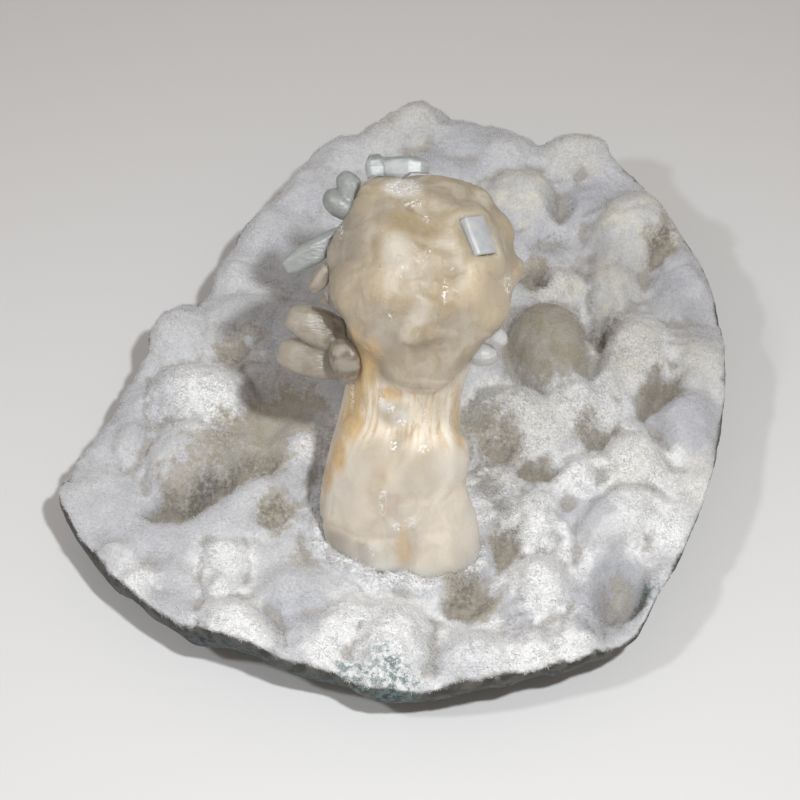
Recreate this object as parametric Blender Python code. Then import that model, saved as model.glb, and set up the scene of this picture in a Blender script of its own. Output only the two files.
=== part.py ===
"""A stilbite column with small clear crystals, standing on a plate of white chalcedony from a vug wall.

Lengths in the tables are millimetres, and millimetres() turns them into the scene's metres.
The row's origin is at the middle of the plate's bounding box, on the flat ground base. +Z is up, and
-Y is the front, where the plate was sawn.
"""

import math

import bmesh
import bpy
from mathutils import Matrix, Vector, geometry, noise

MM = 0.001

# Driving dimensions of the plate, in millimetres.
MESH_STEP = 2.75  # side of the triangles on the crust
GRID_WOBBLE = 0.35  # how far its points stray, as a share of that side
EDGE_CLEARANCE = 0.62  # how far they keep from the outline, as a share of it
GRID_REACH = 140.0  # side of the square that the grid is laid over
FRONT_Y = -63.0  # where the sawn front edge is
BACK_Y = 60.0  # where the broken back edge is
CRUST_Z = 13.0  # height of the crust's ground level at the front
BACK_RISE = 8.0  # how much higher the crust is at the back edge
BACK_RISE_POWER = 1.8  # above 1, most of that rise is near the back
LUMP_RELIEF = 1.25  # height of every lump against the heights in the table
LUMP_ROUNDNESS = 0.75  # 0.5 is a half ball, 1 is a flatter mound
GRAIN_HEIGHT = 0.5  # unevenness of the whole crust
GRAIN_SIZE = 7.7
SIDE_BAND = 5.2  # mean height of the side face under the rim
SIDE_BAND_TILT = 0.032  # the side is lower at the right, by this share of x
SIDE_BAND_RISE = 0.03  # and higher towards the back, by this share of the way from the front
SIDE_BULGE = 0.35  # how far the side stands out below the rim
SIDE_BULGE_SHARE = 0.45  # where on the side's height it stands out
UNDERCUT = -0.9  # how far the side has drawn in at its lower edge
ROUGHNESS = 0.5  # unevenness of the side and underside
ROUGHNESS_SIZE = 4.8
LOWER_SLOPE_SHARE = 0.42  # height of the ring half way down the underside against the side's lower edge
BASE_MIDDLE = (0.8, -2.1)  # the underside draws in towards this point
BASE_SHARE = 0.80  # size of the flat ground base against the outline
BAND_FOOT_SHARE = 0.93  # size of the underside half way down to the base
BROKEN_EDGE_DROP = 1.5  # how far the crust rounds over at a broken edge
BROKEN_EDGE_WIDTH = 3.0

# Driving dimensions of the stilbite column.
COLUMN_FOOT = (-0.15, -30.1)
SEAT_Z = 12.3
SEAT_RADIUS = 16.4
SEAT_SLOPE = 0.9  # rise over run of the crust around the seat
SEAT_APRON = 8.0  # how far out that slope may still lower the crust
LEAN_BACK = 10.9  # degrees, the column leans away from the front
LEAN_RIGHT = 3.7  # degrees
HEAD_S = 49.0  # height of the head's middle along the column's axis
GAP = 0.3  # clearance between touching pieces
CUTTER_SIDE = 60.0  # side of the block that cuts the column's lower end flat
GROWTH_AT_EDGES = 1.4  # a face moves less than the corners it is grown by

# The outline, anticlockwise from the left tip: each corner, and how far the edge bows out to the next.
# The last word says whether that stretch was sawn or broken.
OUTLINE = (
    (-56.8, -25.6, 3.0, "sawn"),
    (-33.0, -52.9, 0.8, "sawn"),
    (-8.7, -60.5, 0.2, "sawn"),
    (-3.9, -63.3, 1.1, "sawn"),
    (19.4, -60.5, 1.0, "sawn"),
    (36.6, -53.4, 0.3, "sawn"),
    (47.1, -34.1, 2.2, "sawn"),
    (56.8, 7.9, 1.9, "broken"),
    (50.1, 34.2, 1.6, "broken"),
    (39.6, 48.1, 0.6, "broken"),
    (36.4, 55.3, 0.4, "broken"),
    (26.1, 53.1, 1.5, "broken"),
    (9.7, 59.2, 1.9, "broken"),
    (2.0, 62.4, 0.6, "broken"),
    (-8.2, 55.5, 1.4, "broken"),
    (-16.1, 51.7, 0.3, "broken"),
    (-26.0, 36.3, 0.9, "broken"),
    (-31.3, 26.9, 0.9, "broken"),
    (-33.8, 17.8, 0.2, "broken"),
    (-36.4, 14.9, 4.2, "broken"),
    (-44.0, 3.5, 0.8, "broken"),
    (-49.4, -10.4, 0.4, "broken"),
)

# The lumps of the botryoidal crust, each an oval mound: x, y, half its length and its width, the angle of
# its length from +X, and its height. Neighbours meet in creases.
LUMPS = (
    # Left side, from the lobe at the edge to the tip and along the sawn edge
    (-39.4, 6.8, 6.6, 5.8, 20, 2.6),
    (-34.2, -7.0, 9.8, 6.4, -8, 4.4),
    (-35.6, -19.8, 9.6, 7.4, 72, 3.8),
    (-25.0, -29.4, 9.6, 6.4, 35, 2.4),
    (-46.2, -16.4, 5.4, 3.0, 80, 1.5),
    (-49.0, -27.6, 8.0, 5.6, -20, 1.0),
    (-41.0, -35.0, 5.0, 3.4, 0, 0.8),
    (-45.8, -38.0, 3.0, 2.6, 0, 1.8),
    (-42.6, -44.4, 4.8, 3.0, 110, 2.2),
    (-36.6, -42.4, 3.0, 2.6, 0, 1.4),
    (-28.2, -38.8, 4.2, 3.6, 0, 2.6),
    (-28.4, -44.6, 3.6, 3.0, 20, 2.2),
    (-25.6, -53.4, 8.2, 5.6, -38, 3.8),
    (-36.0, -50.4, 4.6, 3.6, -45, 1.2),
    (-17.6, -45.2, 5.8, 5.0, 20, 2.2),
    (-14.6, -55.0, 5.6, 4.6, 0, 1.8),
    # Front mounds
    (-8.6, -51.6, 5.0, 4.6, 60, 2.4),
    (-1.6, -55.0, 7.8, 6.0, 80, 3.6),
    (11.4, -58.2, 6.8, 5.0, 5, 3.0),
    (20.4, -57.2, 4.8, 4.2, 20, 2.6),
    (27.6, -54.6, 4.6, 3.8, 30, 2.4),
    # Right side, from the front to the brown ball
    (18.2, -50.8, 3.8, 3.4, 60, 1.7),
    (22.6, -44.6, 5.8, 4.2, -62, 3.2),
    (30.2, -50.6, 4.0, 2.6, 90, 1.6),
    (40.6, -44.6, 5.8, 2.6, 62, 2.2),
    (35.2, -31.0, 9.0, 6.8, 35, 3.6),
    (45.0, -32.6, 6.6, 3.8, 66, 1.4),
    (22.0, -32.2, 6.6, 4.6, 66, 3.0),
    (13.8, -24.0, 4.6, 4.0, 60, 1.8),
    (29.2, -23.4, 5.0, 3.2, 25, 2.8),
    (38.4, -20.8, 6.8, 5.6, 62, 3.9),
    (48.4, -12.6, 8.6, 5.4, 80, 2.4),
    (51.4, -25.0, 5.6, 3.4, 78, 1.0),
    (20.4, -11.0, 8.4, 6.0, -15, 3.1),
    (29.6, -7.8, 5.2, 4.6, 0, 2.8),
    (25.8, 4.0, 9.4, 7.7, 100, 5.4),
    (40.4, 2.4, 9.2, 6.8, 72, 4.0),
    (51.8, 0.8, 6.6, 5.2, 90, 2.0),
    # Back right
    (50.4, 18.4, 9.2, 5.8, 98, 2.7),
    (37.8, 18.4, 6.2, 5.2, 90, 2.9),
    (28.0, 17.8, 4.8, 4.2, 0, 2.3),
    (42.4, 29.2, 9.8, 8.6, 70, 5.6),
    (22.2, 38.2, 7.6, 6.4, 30, 3.2),
    (31.6, 49.2, 5.6, 4.2, 20, 2.6),
    (37.2, 49.0, 4.4, 3.6, 90, 2.6),
    (19.8, 49.6, 6.4, 4.8, -10, 2.2),
    (14.0, 29.0, 7.5, 7.0, 0, 2.2),
    (15.8, 16.0, 7.0, 6.4, 0, 2.0),
    # Back and back left, lower and smoother
    (10.8, 52.4, 5.6, 4.8, 0, 1.9),
    (2.8, 56.6, 5.4, 5.0, 0, 3.0),
    (-2.8, 52.8, 5.2, 4.2, 20, 2.3),
    (-9.4, 49.6, 5.4, 4.4, 20, 1.6),
    (5.4, 43.6, 8.0, 6.6, 0, 2.0),
    (-7.6, 36.0, 8.4, 6.6, 20, 1.8),
    (-17.0, 41.6, 6.6, 5.4, 40, 1.4),
    (-24.8, 31.6, 6.4, 5.2, 60, 1.4),
    (-16.0, 25.0, 8.6, 7.0, 30, 1.6),
    (-30.4, 20.8, 5.6, 4.6, 60, 1.4),
    (-27.0, 12.4, 8.0, 4.8, 15, 1.8),
    (-16.6, 9.6, 7.0, 6.0, 0, 1.6),
    (-17.4, -14.6, 6.0, 4.6, 30, 1.4),
    (0.0, 22.0, 9.0, 8.0, 0, 2.0),
    (0.0, 6.0, 10.0, 8.0, 0, 2.0),
    (12.8, 0.6, 6.6, 5.6, 60, 2.2),
)

# The hollows between the lumps, also oval: x, y, half length, half width, angle of the length, depth.
HOLLOWS = (
    # The ravine on the left, from its pit up into the head's shadow, and the hollow beside it
    (-38.0, -29.2, 4.0, 2.6, 10, 3.4),
    (-31.0, -26.4, 5.6, 3.0, 38, 3.4),
    (-25.2, -21.8, 4.8, 3.2, 42, 2.8),
    (-21.8, -13.8, 5.4, 4.0, 75, 2.2),
    (-20.0, -5.0, 6.0, 5.0, 0, 1.6),
    (-20.8, -30.4, 4.4, 2.8, 32, 2.2),
    (-29.0, 4.4, 4.0, 3.6, 60, 1.6),
    (-40.6, -12.0, 4.4, 2.2, -15, 1.2),
    # Beside the foot, and the smooth pocket at the right edge
    (8.8, -48.6, 4.8, 3.2, 15, 3.0),
    (13.4, -43.4, 4.8, 3.4, 60, 3.2),
    (16.8, -35.4, 3.8, 2.6, 70, 3.0),
    (34.8, -44.8, 6.8, 4.0, 75, 5.8),
    # Right side
    (22.8, -21.4, 4.2, 2.5, -15, 2.6),
    (16.2, -17.6, 3.2, 2.8, 60, 1.9),
    (33.8, -14.4, 3.8, 3.6, 60, 2.4),
    (43.8, -6.4, 5.2, 2.4, 50, 2.8),
    (43.8, -15.0, 4.4, 2.2, -66, 1.8),
    (34.8, 8.4, 5.2, 2.5, 96, 3.2),
    (23.6, 20.6, 3.8, 2.6, -35, 2.8),
    (45.6, 23.8, 4.8, 2.4, 50, 2.2),
    (29.0, 37.4, 4.0, 2.4, 85, 2.2),
    (27.0, 29.0, 4.5, 3.4, 20, 1.6),
    (51.0, 10.8, 6.4, 2.2, 0, 1.8),
    (31.4, 42.0, 4.0, 3.0, 20, 1.4),
)

# The head's blades, as angles about the column's axis: azimuth, tilt from the axis, reach of the tip
# from the head's middle, width, thickness. The front of the column is at azimuth -90.
HEAD_BLADES = (
    (134, 48, 15.8, 10.0, 8.0),
    (86, 36, 14.5, 12.0, 8.0),
    (46, 46, 15.3, 10.0, 8.0),
    (20, 62, 15.2, 9.0, 8.0),
    (2, 84, 15.5, 5.5, 5.0),
    (-32, 102, 14.3, 11.0, 9.0),
    (-60, 118, 14.4, 10.0, 8.0),
    (-74, 138, 18.4, 6.5, 6.0),
    (-100, 140, 17.6, 6.0, 6.0),
    (-128, 118, 14.1, 11.0, 8.0),
    (-160, 98, 13.8, 12.0, 9.0),
    (170, 78, 14.2, 11.0, 8.0),
    (-66, 70, 14.2, 11.0, 9.0),
    (-114, 70, 14.1, 11.0, 9.0),
    (-92, 94, 14.4, 8.0, 6.0),
    (95, 70, 14.6, 14.0, 10.0),
    (48, 84, 14.6, 14.0, 10.0),
    (140, 90, 14.5, 14.0, 10.0),
    (98, 108, 14.6, 14.0, 10.0),
    (150, 120, 14.4, 12.0, 9.0),
    (56, 124, 14.8, 12.0, 9.0),
    (12, 112, 14.2, 12.0, 9.0),
)
# The head's core is a rough ball drawn out to these corners: the square top left, the right shoulder, and
# the two points that hang over the front of the stalk.
HEAD_CORE_RADIUS = 13.3
HEAD_CORE_ROUGHNESS = 0.5
HEAD_ROUGHNESS_SIZE = 6.2
HEAD_CORNERS = (
    (-9.3, 8.6, 59.0),
    (0.4, 9.0, 60.2),
    (8.4, 7.9, 59.0),
    (12.9, 4.2, 54.9),
    (13.4, -2.6, 46.7),
    (10.1, -5.9, 42.5),
    (7.2, -8.8, 38.6),
    (3.0, -11.2, 35.5),
    (-2.0, -10.8, 35.7),
    (-5.2, -8.8, 38.2),
    (-9.9, -5.4, 41.9),
    (-13.2, 2.2, 50.8),
)

# The foot's blades, blunt end to tip, as (x, y, height along the axis), then width, thickness.
FOOT_BLADES = (
    ((-8.4, -7.6, 4.0), (-4.8, -6.8, 26.4), 12.6, 6.0),
    ((3.8, -9.0, 6.0), (2.4, -6.8, 26.6), 11.2, 6.0),
    ((5.0, -7.0, 17.0), (9.6, -9.4, -5.0), 9.6, 6.4),
    ((2.6, -8.4, 14.0), (5.2, -11.4, -5.0), 7.0, 4.6),
    ((7.2, -5.6, 14.4), (6.7, -5.0, 22.6), 5.0, 5.2),
    ((-6.0, -5.0, 18.0), (-9.0, -6.6, -4.0), 9.2, 6.4),
    ((-1.6, -6.4, 14.0), (-2.2, -9.4, -4.0), 9.0, 5.0),
    ((-6.0, 1.5, 26.0), (-10.2, 1.6, -1.0), 10.0, 6.0),
    ((-3.4, 4.4, 26.0), (-6.6, 9.2, 0.5), 11.0, 7.0),
    ((2.4, 5.0, 26.0), (3.2, 9.6, 1.0), 10.0, 6.0),
    ((4.0, 2.2, 25.0), (7.0, 3.4, 0.0), 9.0, 5.6),
)

# The stalk between them: height along the axis, radius, and how far its middle is to the left.
STALK_STATIONS = (
    (-2.0, 11.8, 1.2),
    (4.0, 11.5, 1.4),
    (9.0, 10.8, 1.8),
    (14.0, 10.1, 1.7),
    (20.0, 9.4, 1.4),
    (26.0, 9.1, 1.2),
    (31.0, 9.2, 0.9),
    (36.0, 9.6, 0.6),
    (42.0, 10.4, 0.3),
    (48.0, 11.2, 0.0),
    (55.0, 9.0, 0.0),
)
STALK_FLUTES = 14
FLUTE_DEPTH = 0.28
STALK_TWIST = 0.01  # radians for each millimetre of height
STALK_ROUGHNESS = 0.25
STALK_ROUGHNESS_SPREAD = 2.0  # how often the unevenness changes round the stalk
STALK_ROUGHNESS_LENGTH = 50.0

# A blade's cross-section, as shares of its width and thickness in one quarter, and its size at shares of
# its length. It ends in a blunt roof with the last two shares as its half sides.
BLADE_QUARTER = ((0.5, 0.24), (0.31, 0.5))
BLADE_SECTIONS = ((0.0, 0.72), (0.62, 1.0), (0.84, 0.84))
BLADE_ROOF = (0.24, 0.12)
BLADE_TURN = 0.35  # how far the head's blades lean out of level, one way and the other in turn

# Small crystals on the column. Each blade has its root, tip, direction across, width and thickness.
PALE_CRYSTALS = {
    "side_sheaf": (
        ((-6.5, -0.6, 31.4), (-20.9, 0.6, 32.6), (0.0, 0.6, 0.8), 6.0, 4.2),
        ((-6.5, 0.0, 34.4), (-19.6, 1.0, 39.5), (0.0, 0.6, 0.8), 5.6, 4.0),
        ((-9.0, -3.4, 32.0), (-11.0, -5.0, 39.2), (1.0, 0.0, 0.3), 5.4, 5.4),
    ),
    "left_blade_upper": (((-9.6, 4.0, 54.2), (-20.2, 0.0, 48.8), (-0.3, 0.5, 1.0), 3.6, 2.0),),
    "left_blade_middle": (((-10.4, 2.0, 52.4), (-16.2, -1.8, 46.2), (0.8, 0.4, -0.4), 3.0, 1.9),),
    "left_blade_lower": (((-9.6, -1.4, 48.4), (-14.4, -2.8, 45.0), (0.6, 0.4, -0.6), 2.8, 2.0),),
    "left_buds": (
        ((-9.4, 5.0, 55.0), (-14.8, 7.2, 57.4), (0.4, -0.4, 1.0), 3.6, 3.2),
        ((-8.4, 5.4, 56.0), (-12.6, 8.6, 60.2), (1.0, 0.0, 0.6), 3.4, 2.8),
    ),
}
CLEAR_CRYSTALS = {
    "clear_plate": (
        ((-7.6, 9.8, 61.0), (0.4, 9.6, 61.4), (0.0, 0.63, 0.78), 3.6, 2.4),
        ((-6.8, 7.6, 58.0), (-7.9, 11.0, 62.4), (1.0, 0.2, 0.1), 3.2, 3.0),
    ),
    "clear_grain_large": (((7.0, -1.4, 35.6), (12.4, -2.6, 36.6), (0.0, -0.4, 1.0), 3.6, 3.0),),
    "clear_grain_small": (((10.0, -2.4, 42.2), (13.4, -3.4, 39.6), (0.0, -1.0, 0.4), 2.8, 2.4),),
}
# The pearly tablet in the head's right shoulder: azimuth, tilt and reach of its face's middle, its two
# sides, its thickness, and its turn about the way it faces.
TABLET = (-32, 40, 14.3, 3.8, 5.9, 2.6, 66)
TABLET_BEVEL = 0.25


def millimetres(x, y, z=0.0):
    return Vector((x, y, z)) * MM


def clear_scene():
    for obj in list(bpy.data.objects):
        bpy.data.objects.remove(obj)


def make_material(name, colour, roughness, transmission=0.0, ior=1.5):
    """One Principled material, metallic value 0 as on every mineral here."""
    made = bpy.data.materials.new(name)
    made.use_nodes = True
    shader = made.node_tree.nodes["Principled BSDF"]
    shader.inputs["Base Color"].default_value = (*colour, 1.0)
    shader.inputs["Roughness"].default_value = roughness
    shader.inputs["Metallic"].default_value = 0.0
    shader.inputs["Transmission Weight"].default_value = transmission
    shader.inputs["IOR"].default_value = ior
    return made


def object_from(bm, name, material=None):
    """Writes a bmesh to a new object, its faces pointing out."""
    bmesh.ops.recalc_face_normals(bm, faces=bm.faces)
    mesh = bpy.data.meshes.new(name)
    bm.to_mesh(mesh)
    bm.free()
    obj = bpy.data.objects.new(name, mesh)
    bpy.context.scene.collection.objects.link(obj)
    if material:
        obj.data.materials.append(material)
    return obj


def as_helper(obj):
    obj.hide_render = True
    obj.display_type = "WIRE"


def arc_points(start, end, bow, step):
    """Points from start up to, not including, end, along an arc that bows to the right of the way."""
    chord = end - start
    outward = Vector((chord.y, -chord.x)).normalized()
    count = max(2, round(chord.length / step))
    return [
        start + chord * (i / count) + outward * bow * (1 - (2 * i / count - 1) ** 2)
        for i in range(count)
    ]


def outline_points():
    """The outline's points in millimetres, and for each whether its edge is broken."""
    points = []
    broken = []
    for i, (x, y, bow, cut) in enumerate(OUTLINE):
        following = OUTLINE[(i + 1) % len(OUTLINE)]
        stretch = arc_points(Vector((x, y)), Vector(following[:2]), bow, MESH_STEP)
        points += stretch
        broken += [cut == "broken"] * len(stretch)
    return points, broken


def row_shift(points):
    """What moves the outline's bounding box to the origin."""
    xs = [p.x for p in points]
    ys = [p.y for p in points]
    return Vector((-(min(xs) + max(xs)) / 2, -(min(ys) + max(ys)) / 2))


def oval_distance(here, x, y, long, wide, angle):
    """Distance from an oval's middle, as a share of the way to its edge."""
    turn = math.radians(angle)
    dx = here.x - x
    dy = here.y - y
    along = dx * math.cos(turn) + dy * math.sin(turn)
    across = dy * math.cos(turn) - dx * math.sin(turn)
    return math.hypot(along / long, across / wide)


def mound(share):
    """Height of a lump, steep at its edge and round on top."""
    return max(0.0, 1 - share * share) ** LUMP_ROUNDNESS


def bowl(share):
    """Depth of a hollow, which fades out past its edge."""
    return math.exp(-2 * share * share)


def crust_height(x, y):
    """Height of the crust over the base, in millimetres, without the rounding at its edges."""
    back = max(0.0, (y - FRONT_Y) / (BACK_Y - FRONT_Y))
    level = CRUST_Z + BACK_RISE * back**BACK_RISE_POWER
    here = Vector((x, y))
    lumps = LUMP_RELIEF * max(high * mound(oval_distance(here, *place)) for *place, high in LUMPS)
    hollows = sum(deep * bowl(oval_distance(here, *place)) for *place, deep in HOLLOWS)
    grain = GRAIN_HEIGHT * noise.noise(Vector((x, y, 0.0)) / GRAIN_SIZE)
    height = level + lumps - hollows + grain
    from_seat = (here - Vector(COLUMN_FOOT)).length - SEAT_RADIUS
    if from_seat > SEAT_APRON:
        return height
    return min(height, SEAT_Z + max(0.0, from_seat) * SEAT_SLOPE)


def edge_distance(here, points):
    """Distance from a point to the outline, and the outline point that is nearest."""
    best = min(range(len(points)), key=lambda i: (points[i] - here).length_squared)
    return (points[best] - here).length, best


def inside(here, points):
    """Whether a point lies in the outline, by crossings of a ray."""
    crossings = 0
    for a, b in zip(points, points[1:] + points[:1]):
        if (a.y > here.y) != (b.y > here.y):
            crossings += here.x < a.x + (here.y - a.y) / (b.y - a.y) * (b.x - a.x)
    return crossings % 2 == 1


def crust_grid(points):
    """Points of a triangular grid that keep clear of the outline."""
    row_step = MESH_STEP * math.sqrt(3) / 2
    rows = int(GRID_REACH / row_step)
    columns = int(GRID_REACH / MESH_STEP)
    found = []
    for j in range(-rows // 2, rows // 2 + 1):
        for i in range(-columns // 2, columns // 2 + 1):
            wobble = noise.noise(Vector((i * 0.71, j * 0.83, 3.1))) * MESH_STEP * GRID_WOBBLE
            here = Vector(((i + 0.5 * (j % 2)) * MESH_STEP + wobble, j * row_step - wobble))
            if inside(here, points) and edge_distance(here, points)[0] > MESH_STEP * EDGE_CLEARANCE:
                found.append(here)
    return found


def side_ring(points, normals, heights, out, share):
    """One ring of the side and underside: the outline moved out, drawn in and set to its heights."""
    middle = Vector(BASE_MIDDLE)
    ring = []
    for point, normal, height in zip(points, normals, heights):
        rough = ROUGHNESS * noise.noise(Vector((point.x, point.y, 2 * height + out)) / ROUGHNESS_SIZE)
        flat = middle + (point + normal * (out + rough) - middle) * share
        ring.append((flat, height))
    return ring


def build_plate(material):
    """The crust as one closed solid: its lumpy top, its side face, the underside and the flat base."""
    points, broken = outline_points()
    shift = row_shift(points)
    count = len(points)
    normals = []
    for i in range(count):
        along = points[(i + 1) % count] - points[i - 1]
        normals.append(Vector((along.y, -along.x)).normalized())

    grid = crust_grid(points)
    ring_edges = [(i, (i + 1) % count) for i in range(count)]
    flat, _, faces, *_ = geometry.delaunay_2d_cdt(points + grid, ring_edges, [], 1, 1e-4)

    def rounded_height(here):
        near, which = edge_distance(here, points)
        drop = 0.0
        if broken[which] and near < BROKEN_EDGE_WIDTH:
            drop = BROKEN_EDGE_DROP * (1 - near / BROKEN_EDGE_WIDTH) ** 2
        return crust_height(here.x, here.y) - drop

    bm = bmesh.new()
    top = [bm.verts.new(millimetres(p.x + shift.x, p.y + shift.y, rounded_height(p))) for p in flat]
    for face in faces:
        bm.faces.new([top[i] for i in face])
    rim = [rounded_height(p) for p in points]
    tilt = [SIDE_BAND_TILT * p.x if p.y < 0 else 0.0 for p in points]
    band = [SIDE_BAND - t + SIDE_BAND_RISE * (p.y - FRONT_Y) for p, t in zip(points, tilt)]
    bulge = [r - SIDE_BULGE_SHARE * b for r, b in zip(rim, band)]
    lower = [r - b for r, b in zip(rim, band)]
    slope = [LOWER_SLOPE_SHARE * low for low in lower]
    rings = (
        side_ring(points, normals, bulge, SIDE_BULGE, 1.0),
        side_ring(points, normals, lower, UNDERCUT, 1.0),
        side_ring(points, normals, slope, UNDERCUT / 2, BAND_FOOT_SHARE),
        side_ring(points, normals, [0.0] * count, 0.0, BASE_SHARE),
    )
    above = top[:count]
    for ring in rings:
        below = [bm.verts.new(millimetres(p.x + shift.x, p.y + shift.y, z)) for p, z in ring]
        for i in range(count):
            j = (i + 1) % count
            bm.faces.new((above[i], below[i], below[j], above[j]))
        above = below
    bm.faces.new(above)
    return object_from(bm, "chalcedony_crust", material), shift


def column_frame(shift):
    """The column's own frame: its origin on the seat, +Z along its axis, -Y at its front."""
    place = Matrix.Translation(millimetres(COLUMN_FOOT[0] + shift.x, COLUMN_FOOT[1] + shift.y, SEAT_Z))
    back = Matrix.Rotation(math.radians(-LEAN_BACK), 4, "X")
    right = Matrix.Rotation(math.radians(LEAN_RIGHT), 4, "Y")
    return place @ back @ right


def wrap_in_hull(bm):
    """Replaces the faces of a bmesh by the convex hull of its corners."""
    bmesh.ops.delete(bm, geom=list(bm.edges), context="EDGES_FACES")
    hull = bmesh.ops.convex_hull(bm, input=list(bm.verts))
    spare = [v for v in hull["geom_interior"] + hull["geom_unused"] if isinstance(v, bmesh.types.BMVert)]
    bmesh.ops.delete(bm, geom=list(set(spare)), context="VERTS")


def blade_solid(bm, root, tip, across, width, thickness):
    """One stilbite blade: a flattened eight-sided prism that ends in a blunt roof, as a convex hull."""
    root = Vector(root)
    along = Vector(tip) - root
    length = along.length
    forward = along.normalized()
    side = (Vector(across) - forward * Vector(across).dot(forward)).normalized()
    out = forward.cross(side)
    signs = [(sx, sy) for sx in (1, -1) for sy in (1, -1)]
    corners = [(sx * u, sy * v) for u, v in BLADE_QUARTER for sx, sy in signs]
    for share, size in BLADE_SECTIONS:
        for u, v in corners:
            flat = side * u * width + out * v * thickness
            bm.verts.new((root + forward * length * share + flat * size) * MM)
    u, v = BLADE_ROOF
    for sx, sy in signs:
        flat = side * sx * u * width + out * sy * v * thickness
        bm.verts.new((root + forward * length + flat) * MM)
    wrap_in_hull(bm)


def blade_object(name, frame, root, tip, across, width, thickness):
    bm = bmesh.new()
    blade_solid(bm, root, tip, across, width, thickness)
    obj = object_from(bm, name)
    obj.matrix_world = frame
    return obj


def helper_group(objects, name):
    """Gathers helper solids in a collection that isn't rendered."""
    group = bpy.data.collections.new(name)
    bpy.context.scene.collection.children.link(group)
    group.hide_render = True
    for obj in objects:
        for holder in list(obj.users_collection):
            holder.objects.unlink(obj)
        group.objects.link(obj)
        as_helper(obj)
    return group


def add_boolean(base, operation, name, cutter=None, group=None):
    """One Boolean modifier, with an object or a whole collection as its operand."""
    step = base.modifiers.new(name, "BOOLEAN")
    step.operation = operation
    step.solver = "EXACT"
    if group:
        step.operand_type = "COLLECTION"
        step.collection = group
    else:
        step.object = cutter


def build_stalk(frame, material):
    """The sheaf's stalk: a fluted column, narrow at its waist and wider at both ends."""
    bm = bmesh.new()
    ring = None
    for height, radius, left in STALK_STATIONS:
        verts = []
        for i in range(2 * STALK_FLUTES):
            turn = math.pi * i / STALK_FLUTES + STALK_TWIST * height
            way = Vector((math.cos(turn), math.sin(turn), 0.0))
            sample = way * STALK_ROUGHNESS_SPREAD + Vector((0.0, 0.0, height / STALK_ROUGHNESS_LENGTH))
            reach = radius + FLUTE_DEPTH * (-1) ** i + STALK_ROUGHNESS * noise.noise(sample)
            verts.append(bm.verts.new((way * reach + Vector((-left, 0.0, height))) * MM))
        if ring:
            for i in range(len(ring)):
                j = (i + 1) % len(ring)
                bm.faces.new((ring[i], ring[j], verts[j], verts[i]))
        else:
            bm.faces.new(verts)
        ring = verts
    bm.faces.new(ring)
    stalk = object_from(bm, "stilbite_column", material)
    stalk.matrix_world = frame
    return stalk


def direction(azimuth, tilt):
    """The unit vector at an azimuth from +X and a tilt from the axis, both in degrees."""
    turn = math.radians(azimuth)
    lean = math.radians(tilt)
    return Vector((math.sin(lean) * math.cos(turn), math.sin(lean) * math.sin(turn), math.cos(lean)))


def head_core(frame):
    """The body of the mushroom head, a convex hull that fills the creases between its blades."""
    bm = bmesh.new()
    bmesh.ops.create_icosphere(bm, subdivisions=2, radius=HEAD_CORE_RADIUS * MM)
    for vert in bm.verts:
        rough = HEAD_CORE_ROUGHNESS * noise.noise(vert.co / MM / HEAD_ROUGHNESS_SIZE)
        vert.co *= 1 + rough / HEAD_CORE_RADIUS
    bmesh.ops.translate(bm, vec=(0.0, 0.0, HEAD_S * MM), verts=bm.verts)
    for x, y, z in HEAD_CORNERS:
        bm.verts.new(millimetres(x, y, z))
    wrap_in_hull(bm)
    core = object_from(bm, "head_core")
    core.matrix_world = frame
    return core


def head_blades(frame):
    """The mushroom head's blades, fanned out from its middle."""
    middle = Vector((0.0, 0.0, HEAD_S))
    made = []
    for i, (azimuth, tilt, reach, width, thickness) in enumerate(HEAD_BLADES):
        tip = middle + direction(azimuth, tilt) * reach
        across = direction(azimuth + 90, 90) + Vector((0.0, 0.0, BLADE_TURN * (-1) ** i))
        made.append(blade_object(f"head_blade_{i + 1}", frame, middle, tip, across, width, thickness))
    return made


def foot_blades(frame):
    """The foot's blades, which hang down the stalk and flare out at its base."""
    made = []
    for i, (upper, lower, width, thickness) in enumerate(FOOT_BLADES):
        outward = Vector((upper[0] + lower[0], upper[1] + lower[1], 0.0))
        across = Vector((-outward.y, outward.x, 0.0))
        made.append(blade_object(f"foot_blade_{i + 1}", frame, upper, lower, across, width, thickness))
    return made


def level_cutter(frame):
    """A block that cuts the column's lower end off flat, a gap above its seat."""
    side = CUTTER_SIDE * MM
    bm = bmesh.new()
    bmesh.ops.create_cube(bm, size=side)
    top = frame.translation.z + GAP * MM
    bmesh.ops.translate(bm, vec=(frame.translation.x, frame.translation.y, top - side / 2), verts=bm.verts)
    block = object_from(bm, "level_cutter")
    as_helper(block)
    return block


def grown_copy(source):
    """A copy of one convex piece of the column, grown by the gap, to cut its neighbours with."""
    grown = bpy.data.objects.new(source.name + "_grown", source.data.copy())
    bpy.context.scene.collection.objects.link(grown)
    grown.matrix_world = source.matrix_world
    grow = grown.modifiers.new("grow by the gap", "DISPLACE")
    grow.mid_level = 0.0
    grow.strength = GAP * GROWTH_AT_EDGES * MM
    return grown


def build_cluster(name, frame, blades, material, clearance):
    """A few blades joined into one solid, seated on the column with the gap between them."""
    root, tip, across, width, thickness = blades[0]
    first = blade_object(name, frame, root, tip, across, width, thickness)
    first.data.materials.append(material)
    others = [
        blade_object(f"{name}_blade_{i + 2}", frame, *blade) for i, blade in enumerate(blades[1:])
    ]
    if others:
        add_boolean(first, "UNION", "join the blades", group=helper_group(others, name + " blades"))
    add_boolean(first, "DIFFERENCE", "seat on the column", group=clearance)
    return first


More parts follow.
